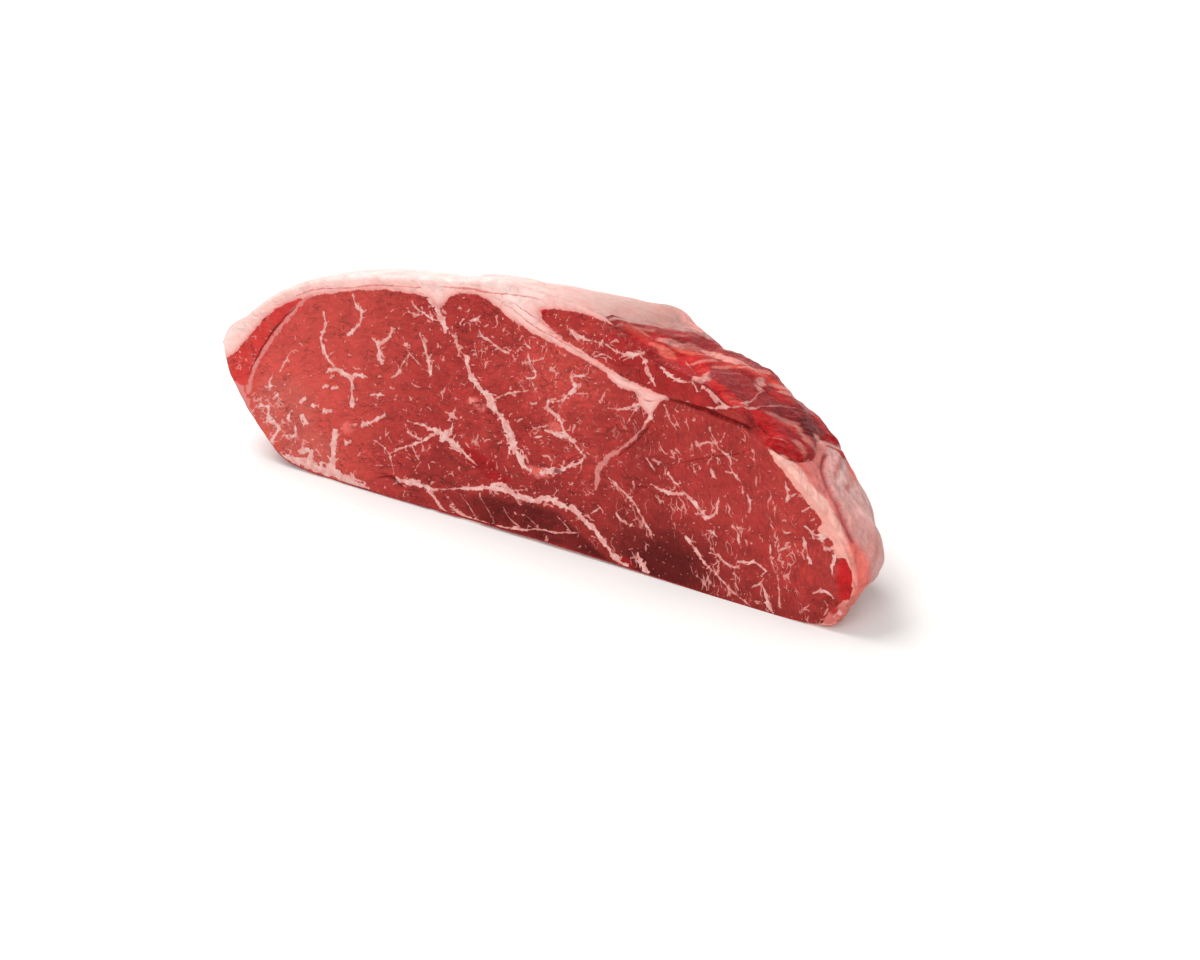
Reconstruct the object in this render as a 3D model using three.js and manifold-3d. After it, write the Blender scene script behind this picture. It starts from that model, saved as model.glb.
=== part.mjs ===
// A raw rump roast: one thick slab of beef that stands on its long edge with its cut face leaning
// back. The lean runs through the whole slab, the fat cap lies over its top and left end, and a
// thinner strip of fat covers its right end. Millimetres, +Z up, the cut face looks towards -Y.
import * as THREE from "three";
import { mergeVertices } from "three/addons/utils/BufferGeometryUtils.js";
import Module from "manifold-3d";

const wasm = await Module();
wasm.setup();

// Every form is drawn in three distances of the slab: u along the edge that it stands on, h up the
// cut face, and w from the cut face into the meat.
const LEAN_BACK = THREE.MathUtils.degToRad(18); // of the cut face, from upright
const BEND_HEIGHT = 40; // up to this h the sides turn from level at the base to square with the face

// The edge of the cut face from its left tip over the top, and from the left tip along the base.
const LEFT_TIP = [-41, 41];
const RIGHT_TIP = [241, 18];
const TOP_EDGE = [
  LEFT_TIP, [-38.5, 48], [-30, 55], [-18, 66], [0, 75.5], [22, 81.5], [50, 86.5], [80, 91.5],
  [105, 92], [128, 89], [143, 82], [158, 76], [172, 74], [188, 66], [205, 54.5], [225, 41],
  [237, 27], RIGHT_TIP,
];
const BASE_EDGE = [
  LEFT_TIP, [-36, 30], [-28, 21], [-16, 10], [-4, 2], [6, 0], [120, 0], [230, 0], [237, 3],
  [240, 9], RIGHT_TIP,
];

const THICKNESS = 38; // of the slab, square to the cut face
const LEFT_TIP_THICKNESS = 27;
const RIGHT_TIP_THICKNESS = 21;
const BACK_BULGE = 9; // more at the foot of the back, where the muscle swells
const FRONT_ROUND = 1.2; // where the knife left the edge of the cut face
const BACK_ROUND = 3.5;
const CROWN = 1.6; // swell of the outer skin between both cut faces
const BACK_SAG = 4; // the back edge lies lower than the front edge under the fat cap
const TORN_RISE = 5; // and higher where the seam muscle was torn off
const LOBE = 5; // the fold of fat that hangs out of the right end
const UNDERCUT = 5; // of the right end below that fold
const LUMPS = 0.6; // height of the lumps on the torn top

const GAP = 0.3; // kept between two pieces that touch
const CRACK_DEPTH = 6;
const CRACK_WIDTH = 1.6;

// Steps of the surface: along the slab, up each face, and across its edges.
const STATIONS = 76;
const FACE_STEPS = 14;
const BACK_STEPS = 10;
const ROUND_STEPS = 2;
const SKIN_STEPS = 5;

const bell = (x, middle, width) => Math.exp(-(((x - middle) / width) ** 2));
const ramp = (x, low, high) => THREE.MathUtils.smoothstep(x, low, high);

// A point of the slab's three distances in the room: the whole slab leans back, and its sides
// level out towards the base, so that it stands on a flat.
function place(u, h, w) {
  const turn = LEAN_BACK * ramp(h, 0, BEND_HEIGHT);
  return new THREE.Vector3(
    u,
    h * Math.sin(LEAN_BACK) + w * Math.cos(turn),
    h * Math.cos(LEAN_BACK) - w * Math.sin(turn),
  );
}

// Evenly spaced points of a smooth line through a few [u, h] points.
function smoothLine(points, steps) {
  const curve = new THREE.CatmullRomCurve3(
    points.map(([u, h]) => new THREE.Vector3(u, h, 0)), false, "centripetal",
  );
  return curve.getSpacedPoints(steps).map((p) => new THREE.Vector2(p.x, p.y));
}

// The direction to the left of a line of points at each of them, of length one.
function leftOf(line) {
  return line.map((p, i) => {
    const along = line[Math.min(i + 1, line.length - 1)].clone().sub(line[Math.max(i - 1, 0)]);
    return new THREE.Vector2(-along.y, along.x).normalize();
  });
}

// Slab thickness at a place of the cut face: thinner towards both tips, swollen at the foot.
function thickness(u, h) {
  const left = 1 - ramp(u, LEFT_TIP[0], LEFT_TIP[0] + 55);
  const right = ramp(u, RIGHT_TIP[0] - 18, RIGHT_TIP[0]);
  const middle = ramp(u, -30, 40) * (1 - ramp(u, 150, 232));
  return THICKNESS - (THICKNESS - LEFT_TIP_THICKNESS) * left
    - (THICKNESS - RIGHT_TIP_THICKNESS) * right
    + BACK_BULGE * middle * bell(h, 14, 38);
}

// Relief of both cut faces: each muscle swells a little between its seams.
function faceSwell(u, h) {
  const slow = Math.sin(u / 17 + h / 23) * Math.sin(h / 13 - u / 41);
  const seamMuscle = bell(u, 128, 26) * bell(h, 80, 8);
  return 0.5 * slow * ramp(h, 2, 12) + 0.9 * seamMuscle;
}

// How far the outer skin stands out of the edge's outline at a depth w of t.
function skinOut(u, h, w, t) {
  const across = w / t;
  const top = ramp(h, 30, 60);
  const crown = CROWN * Math.sin(Math.PI * across);
  const risen = ramp(u, 126, 140) * (1 - ramp(u, 206, 232));
  const sag = -BACK_SAG * bell(u, 74, 32) + TORN_RISE * (risen + 0.5 * bell(u, 132, 12));
  const torn = ramp(u, 140, 150) * (1 - ramp(u, 200, 212));
  const lumps = LUMPS * torn * Math.sin(u / 2.9 + w / 6) * Math.sin(w / 4.1 - u / 11);
  const fold = LOBE * ramp(u, 216, 234) * bell(h, 31, 12) * bell(w, 12, 8);
  const below = UNDERCUT * ramp(u, 230, 240) * (1 - ramp(h, 10, 22)) * ramp(across, 0.1, 1);
  return crown * ramp(h, 4, 20) + top * (sag * ramp(across, 0.05, 0.9) + lumps) + fold - below;
}

// A row of points across the skin from the cut face to the back, for one point of the edge.
function skinRow(p, out) {
  const t = thickness(p.x, p.y);
  const across = [];
  for (let k = 0; k <= ROUND_STEPS; k++) {
    const a = (k / ROUND_STEPS) * (Math.PI / 2);
    across.push([-FRONT_ROUND * (1 - Math.sin(a)), FRONT_ROUND * (1 - Math.cos(a))]);
  }
  for (let k = 1; k < SKIN_STEPS; k++) {
    across.push([0, FRONT_ROUND + (t - FRONT_ROUND - BACK_ROUND) * (k / SKIN_STEPS)]);
  }
  for (let k = 0; k <= ROUND_STEPS; k++) {
    const a = (k / ROUND_STEPS) * (Math.PI / 2);
    across.push([-BACK_ROUND * (1 - Math.cos(a)), t - BACK_ROUND * (1 - Math.sin(a))]);
  }
  return across.map(([inset, w]) => {
    const off = inset + skinOut(p.x, p.y, w, t);
    const u = p.x + out.x * off;
    const h = Math.max(0, p.y + out.y * off);
    return new THREE.Vector3(u, h, w);
  });
}

// Points between two points of a cut face, at the depth that depthAt gives; both ends left out.
function faceRow(from, to, steps, depthAt) {
  const row = [];
  for (let k = 1; k < steps; k++) {
    const p = from.clone().lerp(to, k / steps);
    p.z = depthAt(p.x, p.y, Math.sin((Math.PI * k) / steps));
    row.push(p);
  }
  return row;
}

// A solid from triangles of points: points that meet are made one and flat triangles dropped.
function solid(corners) {
  const loose = new THREE.BufferGeometry().setFromPoints(corners);
  const merged = mergeVertices(loose, 1e-3);
  const index = merged.index.array;
  const kept = [];
  for (let i = 0; i < index.length; i += 3) {
    const [a, b, c] = [index[i], index[i + 1], index[i + 2]];
    if (a !== b && b !== c && c !== a) kept.push(a, b, c);
  }
  return new wasm.Manifold(new wasm.Mesh({
    numProp: 3,
    vertProperties: merged.attributes.position.array,
    triVerts: Uint32Array.from(kept),
  }));
}

// The whole slab: closed rings of points around it, from its left tip to its right tip.
function slab() {
  const top = smoothLine(TOP_EDGE, STATIONS);
  const base = smoothLine(BASE_EDGE, STATIONS);
  const topOut = leftOf(top);
  const baseOut = leftOf(base).map((v) => v.negate());
  for (const i of [0, STATIONS]) {
    const both = topOut[i].clone().add(baseOut[i]).normalize();
    topOut[i] = both;
    baseOut[i] = both;
  }
  const rings = top.map((p, i) => {
    const over = skinRow(p, topOut[i]);
    const under = skinRow(base[i], baseOut[i]);
    const back = (u, h, inner) => thickness(u, h) + inner * faceSwell(u + 60, h);
    const front = (u, h, inner) => -inner * faceSwell(u, h);
    return [
      ...over,
      ...faceRow(over.at(-1), under.at(-1), BACK_STEPS, back),
      ...under.reverse(),
      ...faceRow(under.at(-1), over[0], FACE_STEPS, front),
    ].map((q) => place(q.x, q.y, q.z));
  });
  const corners = [];
  for (let i = 0; i < STATIONS; i++) {
    const [a, b] = [rings[i], rings[i + 1]];
    for (let j = 0; j < a.length; j++) {
      const k = (j + 1) % a.length;
      corners.push(a[j], b[j], b[k], a[j], b[k], a[k]);
    }
  }
  return solid(corners);
}

// A block that runs through the slab behind an outline of [u, h] points.
function block(outline, near, far) {
  const ring = THREE.ShapeUtils.isClockWise(outline) ? [...outline].reverse() : outline;
  const front = ring.map((p) => place(p.x, p.y, near));
  const back = ring.map((p) => place(p.x, p.y, far));
  const corners = [];
  for (const [a, b, c] of THREE.ShapeUtils.triangulateShape(ring, [])) {
    corners.push(front[a], front[b], front[c], back[a], back[c], back[b]);
  }
  ring.forEach((_, i) => {
    const k = (i + 1) % ring.length;
    corners.push(front[i], back[i], back[k], front[i], back[k], front[k]);
  });
  return solid(corners);
}

// The side of a seam line that holds the fat, closed far outside the slab; grow moves the line
// into the lean.
function fatSide(seam, steps, outside, grow) {
  const line = smoothLine(seam, steps);
  const left = leftOf(line);
  const moved = line.map((p, i) => p.clone().addScaledVector(left[i], -grow));
  return block([...moved, ...outside.map(([u, h]) => new THREE.Vector2(u, h))], -30, 80);
}

// Seam between the fat cap and the lean, from the left end: under the cap, along the web of fat
// that runs down between two muscles, round its end, and back over the seam muscle.
const CAP_SEAM = [
  [-48, 33], [-36, 36.5], [-30, 43.5], [-20, 57], [-8, 65.5], [10, 72], [28, 77], [47, 79],
  [62, 82.5], [76, 84], [88, 79.5], [102, 75], [122, 70.5], [136, 65], [146, 61.5], [155, 61],
  [158, 64], [146, 66.8], [130, 71.2], [116, 75.2], [105, 79.5], [101, 84], [106, 86],
  [122, 87], [133, 86], [144, 88],
];
const CAP_OUTSIDE = [[150, 130], [-80, 130], [-80, 33]];
const CAP_STEPS = 84;

// Seam between the lean and the fat of the right end, from the top edge down to the base.
const END_SEAM = [
  [206, 66], [200, 57.5], [206, 50.5], [216, 43.5], [225, 36], [231, 28], [235.5, 20],
  [236, 12], [233.5, 5], [230, 1], [228, -8],
];
const END_OUTSIDE = [[290, -8], [290, 66]];
const END_STEPS = 30;

// The open seam in the cut face, right of the web: a wedge, widest at the face.
const CRACK = [[158, 64.6], [170, 64.2], [180, 63.2], [190, 62.2], [197, 60.6]];

function crack() {
  const line = smoothLine(CRACK, 10);
  const left = leftOf(line);
  const rings = line.map((p, i) => {
    const half = (CRACK_WIDTH / 2) * (0.15 + Math.sin((Math.PI * i) / (line.length - 1)));
    const above = p.clone().addScaledVector(left[i], half);
    const below = p.clone().addScaledVector(left[i], -half);
    return [
      place(above.x, above.y, -3), place(below.x, below.y, -3), place(p.x, p.y + 1, CRACK_DEPTH),
    ];
  });
  const corners = [];
  for (let i = 0; i < rings.length - 1; i++) {
    for (let j = 0; j < 3; j++) {
      const k = (j + 1) % 3;
      const [a, b] = [rings[i], rings[i + 1]];
      corners.push(a[j], a[k], b[k], a[j], b[k], b[j]);
    }
  }
  const [first, last] = [rings[0], rings.at(-1)];
  corners.push(first[0], first[2], first[1], last[0], last[1], last[2]);
  return solid(corners);
}

const whole = slab();
const cap = whole.intersect(fatSide(CAP_SEAM, CAP_STEPS, CAP_OUTSIDE, 0));
const end = whole.intersect(fatSide(END_SEAM, END_STEPS, END_OUTSIDE, 0));
const lean = whole
  .subtract(fatSide(CAP_SEAM, CAP_STEPS, CAP_OUTSIDE, GAP))
  .subtract(fatSide(END_SEAM, END_STEPS, END_OUTSIDE, GAP))
  .subtract(crack());

// The geometry of a solid, with a corner of its own for each triangle.
function geometryOf(made) {
  const { vertProperties, triVerts, numProp } = made.getMesh();
  const points = new Float32Array(triVerts.length * 3);
  triVerts.forEach((v, i) => {
    for (let c = 0; c < 3; c++) points[3 * i + c] = vertProperties[v * numProp + c];
  });
  const geometry = new THREE.BufferGeometry();
  geometry.setAttribute("position", new THREE.BufferAttribute(points, 3));
  geometry.computeVertexNormals();
  return geometry;
}

const PIECES = {
  lean: { made: lean, color: 0xa63e3a, roughness: 0.45 },
  fat_cap: { made: cap, color: 0xefc2b8, roughness: 0.5 },
  end_fat: { made: end, color: 0xdc9d92, roughness: 0.5 },
};

const roast = new THREE.Group();
roast.name = "rump_roast";
for (const [name, { made, color, roughness }] of Object.entries(PIECES)) {
  const material = new THREE.MeshStandardMaterial({ color, roughness, metalness: 0 });
  const mesh = new THREE.Mesh(geometryOf(made), material);
  mesh.name = name;
  roast.add(mesh);
}

// The roast stands on z = 0 with the middle of its length and depth over the origin.
const box = new THREE.Box3().setFromObject(roast);
roast.position.set(-(box.min.x + box.max.x) / 2, -(box.min.y + box.max.y) / 2, -box.min.z);

export default roast;
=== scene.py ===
"""A raw rump roast: one thick slab of marbled beef, standing on its long edge with its cut face
leaning back. The slab is one closed skin of points, drawn in millimetres in three distances:
u along the edge that it stands on, h up the cut face and w from the cut face into the meat."""

import bpy
import numpy as np
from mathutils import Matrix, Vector


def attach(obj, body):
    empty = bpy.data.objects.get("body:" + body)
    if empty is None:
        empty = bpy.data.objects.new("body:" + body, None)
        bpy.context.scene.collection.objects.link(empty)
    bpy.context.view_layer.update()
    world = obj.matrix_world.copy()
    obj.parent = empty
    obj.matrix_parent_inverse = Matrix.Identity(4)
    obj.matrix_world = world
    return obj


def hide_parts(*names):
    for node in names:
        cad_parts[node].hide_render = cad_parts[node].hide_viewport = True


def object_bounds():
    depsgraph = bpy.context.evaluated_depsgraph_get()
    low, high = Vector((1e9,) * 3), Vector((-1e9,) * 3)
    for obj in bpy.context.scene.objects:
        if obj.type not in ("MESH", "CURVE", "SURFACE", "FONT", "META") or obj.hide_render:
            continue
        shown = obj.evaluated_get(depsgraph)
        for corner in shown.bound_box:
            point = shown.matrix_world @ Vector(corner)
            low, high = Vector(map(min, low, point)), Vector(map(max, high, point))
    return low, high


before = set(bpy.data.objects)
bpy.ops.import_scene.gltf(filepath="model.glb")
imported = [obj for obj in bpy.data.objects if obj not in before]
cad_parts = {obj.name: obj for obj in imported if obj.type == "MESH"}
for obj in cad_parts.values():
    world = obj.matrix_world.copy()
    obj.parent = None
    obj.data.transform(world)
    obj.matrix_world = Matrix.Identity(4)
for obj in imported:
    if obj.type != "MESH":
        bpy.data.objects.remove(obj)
cad_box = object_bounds()

MM = 0.001
MIDDLE = np.array([100.4535, 31.8192, 0.0])  # of the roast's length and depth, put over the origin

# ---------------------------------------------------------------- sizes of the slab, as in its solids
LEAN_BACK = np.radians(18)
BEND_HEIGHT = 40
LEFT_TIP, RIGHT_TIP = (-41, 41), (241, 18)
TOP_EDGE = [
    LEFT_TIP, (-38.5, 48), (-30, 55), (-18, 66), (0, 75.5), (22, 81.5), (50, 86.5), (80, 91.5),
    (105, 92), (128, 89), (143, 82), (158, 76), (172, 74), (188, 66), (205, 54.5), (225, 41),
    (237, 27), RIGHT_TIP,
]
BASE_EDGE = [
    LEFT_TIP, (-36, 30), (-28, 21), (-16, 10), (-4, 2), (6, 0), (120, 0), (230, 0), (237, 3),
    (240, 9), RIGHT_TIP,
]
THICKNESS, LEFT_TIP_THICKNESS, RIGHT_TIP_THICKNESS = 38, 27, 21
LEFT_TAPER, RIGHT_TAPER = 55, 18  # how far in from each tip the slab is thinner
BACK_BULGE = 9
FRONT_ROUND, BACK_ROUND = 1.2, 3.5  # of the edges of the cut face and of the back
CROWN, BACK_SAG, TORN_RISE, LOBE, UNDERCUT, LUMPS = 1.6, 4, 5, 5, 5, 0.6  # forms of the skin

# Steps of the surface: along the slab, up the cut face, over the top, down the back and under it.
STATIONS = 440
FRONT_ROWS, OVER_ROWS, BACK_ROWS, UNDER_ROWS = 132, 46, 32, 16
TIP_STATIONS = 6  # over which all relief dies out towards a tip
TINY = 1e-9
LINE_STEP = 1.2  # between the points of a vein, a crease or a smear
LINE_REACH, SMEAR_REACH = 6.0, 9.0  # how far from a place they are looked for
BACK_SHIFT, UNDER_SHIFT = 200, 40  # set the patterns of the back and the underside apart
TOP_STRANDS, END_STRANDS = 62, -39  # turn of the strands on the torn top and the end, in degrees


# ---------------------------------------------------------------- small curves
SPAN_STEPS = 32  # of a curve, between two of its given points
SLOPES, HASH = 4096, np.array([73856093, 19349663, 83492791])  # three primes mix a lattice place


def bell(x, middle, width):
    """A bump of height one at the middle, down to a third at one width from it."""
    return np.exp(-(((x - middle) / width) ** 2))


def ramp(x, low, high):
    """Zero below low, one above high, and 3t^2 - 2t^3 between them."""
    t = np.clip((x - low) / (high - low), 0, 1)
    return t * t * (3 - 2 * t)


def span(x, start, full, ebb, gone):
    """A flat-topped hill: a ramp up from start to full, less a ramp down from ebb to gone."""
    return ramp(x, start, full) * (1 - ramp(x, ebb, gone))


def smooth_line(points, steps):
    """Evenly spaced points of the centripetal Catmull-Rom curve through a few points: on each
    span a cubic whose end slopes weigh the neighbouring spans by the root of their lengths."""
    p = np.array(points, float)
    p = np.vstack([2 * p[0] - p[1], p, 2 * p[-1] - p[-2]])
    root = np.sqrt(np.linalg.norm(np.diff(p, axis=0), axis=1))
    t0, t1, t2 = root[:-2, None], root[1:-1, None], root[2:, None]
    a, b, c, d = p[:-3], p[1:-2], p[2:-1], p[3:]
    slope_b = ((b - a) / t0 - (c - a) / (t0 + t1) + (c - b) / t1) * t1
    slope_c = ((c - b) / t1 - (d - b) / (t1 + t2) + (d - c) / t2) * t1
    t = np.arange(SPAN_STEPS)[:, None, None] / SPAN_STEPS
    curve = (
        (2 * t**3 - 3 * t**2 + 1) * b + (t**3 - 2 * t**2 + t) * slope_b
        + (3 * t**2 - 2 * t**3) * c + (t**3 - t**2) * slope_c
    )
    curve = np.vstack([curve.transpose(1, 0, 2).reshape(-1, p.shape[1]), p[-2]])
    run = np.concatenate([[0], np.cumsum(np.linalg.norm(np.diff(curve, axis=0), axis=1))])
    even = np.linspace(0, run[-1], steps + 1)
    return np.stack([np.interp(even, run, curve[:, k]) for k in range(p.shape[1])], axis=1)


def left_of(line):
    """Unit vectors to the left of a line, from the difference of each point's neighbours."""
    along = np.gradient(line, axis=0)
    side = np.stack([-along[:, 1], along[:, 0]], axis=1)
    return side / np.linalg.norm(side, axis=1, keepdims=True)


def swirl(places, size, seed):
    """Gradient noise from -1 to 1: each lattice corner of the given size has a random slope, and
    the eight slopes round a place are blended by 6t^5 - 15t^4 + 10t^3."""
    rng = np.random.default_rng(seed)
    slopes = rng.normal(size=(SLOPES, 3))
    slopes /= np.linalg.norm(slopes, axis=1, keepdims=True)
    q = places / size
    cell = np.floor(q).astype(np.int64)
    part = q - cell
    fade = part**3 * (part * (part * 6 - 15) + 10)
    total = np.zeros(len(places))
    for corner in np.ndindex(2, 2, 2):
        at = cell + corner
        pick = np.bitwise_xor.reduce(at * HASH, axis=1) % SLOPES
        rise = (slopes[pick] * (part - corner)).sum(axis=1)
        weight = np.prod(np.where(corner, fade, 1 - fade), axis=1)
        total += weight * rise
    return total * 1.6


# ---------------------------------------------------------------- the slab
def place(u, h, w):
    """The slab in the room: x = u, and a turn a of the sides grows with h from none to the lean:
    y = h sin(lean) + w cos(a), z = h cos(lean) - w sin(a)."""
    turn = LEAN_BACK * ramp(h, 0, BEND_HEIGHT)
    y = h * np.sin(LEAN_BACK) + w * np.cos(turn)
    z = h * np.cos(LEAN_BACK) - w * np.sin(turn)
    return np.stack([u, y, z], axis=-1)


def thickness(u, h):
    """Slab thickness: the full one less a ramp towards each tip, plus a swell at the foot."""
    left = 1 - ramp(u, LEFT_TIP[0], LEFT_TIP[0] + LEFT_TAPER)
    right = ramp(u, RIGHT_TIP[0] - RIGHT_TAPER, RIGHT_TIP[0])
    foot = span(u, -30, 40, 150, 232) * bell(h, 14, 38)
    return (
        THICKNESS - (THICKNESS - LEFT_TIP_THICKNESS) * left
        - (THICKNESS - RIGHT_TIP_THICKNESS) * right + BACK_BULGE * foot
    )


def face_swell(u, h):
    """Slow swells of a cut face: a product of two sines, and a bump on the seam muscle."""
    slow = np.sin(u / 17 + h / 23) * np.sin(h / 13 - u / 41)
    seam_muscle = bell(u, 128, 26) * bell(h, 80, 8)
    return 0.5 * slow * ramp(h, 2, 12) + 0.9 * seam_muscle


def skin_out(u, h, w, t):
    """How far the skin stands out at a depth w of t: a sine crown across, a sag or a rise
    towards the back, sine lumps where the muscle is torn, the end's fold and its undercut."""
    across = w / t
    crown = CROWN * np.sin(np.pi * across) * ramp(h, 4, 20)
    risen = span(u, 126, 140, 206, 232) + 0.5 * bell(u, 132, 12)
    back = (TORN_RISE * risen - BACK_SAG * bell(u, 74, 32)) * ramp(across, 0.05, 0.9)
    lumps = np.sin(u / 2.9 + w / 6) * np.sin(w / 4.1 - u / 11)
    lumps *= LUMPS * span(u, 140, 150, 200, 212)
    fold = LOBE * ramp(u, 216, 234) * bell(h, 31, 12) * bell(w, 12, 8)
    below = UNDERCUT * ramp(u, 230, 240) * (1 - ramp(h, 10, 22)) * ramp(across, 0.1, 1)
    return crown + ramp(h, 30, 60) * (back + lumps) + fold - below


def skin_strip(edge, out, rows):
    """The skin behind an edge line: its points moved out along the edge's side vectors by
    skin_out, less a quarter circle at the cut face and a larger one at the back."""
    u, h = edge[:, :1], edge[:, 1:]
    t = thickness(u, h)
    w = t * np.linspace(0, 1, rows + 1)
    front = np.clip(FRONT_ROUND - w, 0, FRONT_ROUND)
    back = np.clip(w - (t - BACK_ROUND), 0, BACK_ROUND)
    inset = (
        FRONT_ROUND - np.sqrt(FRONT_ROUND**2 - front**2)
        + BACK_ROUND - np.sqrt(BACK_ROUND**2 - back**2)
    )
    off = skin_out(u, h, w, t) - inset
    return np.stack([u + out[:, :1] * off, np.maximum(h + out[:, 1:] * off, 0), w], axis=-1)


def face_rows(start, end, rows, depth):
    """Rows of points on straight lines from start to end, at the depth that depth(u, h, inner)
    gives, where inner is a half sine wave that is zero at both ends."""
    part = (np.arange(1, rows) / rows)[None, :]
    u = start[:, None, 0] * (1 - part) + end[:, None, 0] * part
    h = start[:, None, 1] * (1 - part) + end[:, None, 1] * part
    return np.stack([u, h, depth(u, h, np.sin(np.pi * part))], axis=-1)


def slab(top, base):
    """Closed rings of (u, h, w) points from the left tip to the right tip: the skin over the top
    from front to back, down the back face, the skin under the base, and up the cut face."""
    top_out, base_out = left_of(top), -left_of(base)
    for end in (0, -1):
        both = top_out[end] + base_out[end]
        top_out[end] = base_out[end] = both / np.linalg.norm(both)
    over = skin_strip(top, top_out, OVER_ROWS)
    under = skin_strip(base, base_out, UNDER_ROWS)
    back = face_rows(
        over[:, -1], under[:, -1], BACK_ROWS,
        lambda u, h, inner: thickness(u, h) + inner * face_swell(u + 60, h),
    )
    front = face_rows(
        under[:, 0], over[:, 0], FRONT_ROWS, lambda u, h, inner: -inner * face_swell(u, h)
    )
    return np.concatenate([over, back, under[:, ::-1], front], axis=1)


top_line, base_line = smooth_line(TOP_EDGE, STATIONS), smooth_line(BASE_EDGE, STATIONS)
rings = slab(top_line, base_line)
ring_size = rings.shape[1]
OVER_END = OVER_ROWS + 1
BACK_END = OVER_END + BACK_ROWS - 1
UNDER_END = BACK_END + UNDER_ROWS + 1

flat = rings.reshape(-1, 3)
u, h, w = flat.T
row = np.tile(np.arange(ring_size), STATIONS + 1)
station = np.repeat(np.arange(STATIONS + 1), ring_size)
over_skin = row < OVER_END
back_face = (row >= OVER_END) & (row < BACK_END)
under_skin = (row >= BACK_END) & (row < UNDER_END)
front_face = row >= UNDER_END
skin = (over_skin | under_skin).astype(float)
cut = 1 - skin

# ---------------------------------------------------------------- fat and seams on the cut face
# The line between the cap of fat and the lean, round the web of fat between two muscles and back
# over the seam muscle; then closed outside the slab.
CAP_SEAM = [
    (-48, 33), (-36, 36.5), (-30, 43.5), (-20, 57), (-8, 65.5), (10, 72), (28, 77), (47, 79),
    (53, 78.6), (55.5, 77.2), (58.5, 77.4), (62, 81.8), (69, 84), (76, 84), (82, 82), (88, 79.2),
    (95, 77), (102, 75), (112, 73.2), (122, 70.8), (130, 68.6), (134, 66), (138, 64.4),
    (145, 63.4), (146.6, 60.6), (149.4, 58.8), (152.2, 57.2), (153.6, 60.4), (154.8, 63),
    (158.6, 64.2), (156, 65.4), (150, 66.2), (146, 67), (138, 68.4), (130, 71), (122, 73.4),
    (114, 75.8), (107, 78.6), (102.5, 81.6), (100.5, 84.4), (105, 86), (113, 87), (122, 87),
    (130, 86), (134, 85.4), (144, 88),
]
CAP_OUTSIDE = [(150, 130), (-80, 130), (-80, 33)]
END_SEAM = [
    (204, 66), (199.5, 57.5), (201.5, 53.8), (206.3, 50.7), (210.2, 47.3), (214.6, 44.1),
    (218.8, 40.8), (222, 39.2), (224.4, 36), (222.6, 33.4), (227.1, 32.1), (229.9, 30),
    (231.1, 26.8), (232.6, 25.8), (234.4, 26.2), (237.3, 24), (239, 21), (239.8, 17.6), (246, 16),
]
END_OUTSIDE = [(290, 16), (290, 66)]
CORNER_SEAM = [
    (246, 13), (239, 12.5), (236.7, 11.5), (235.2, 9.5), (233.8, 7.6), (232.5, 6.2), (231.5, 4),
    (230.7, 0), (230, -6),
]
CORNER_OUTSIDE = [(290, -6), (290, 13)]

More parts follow.
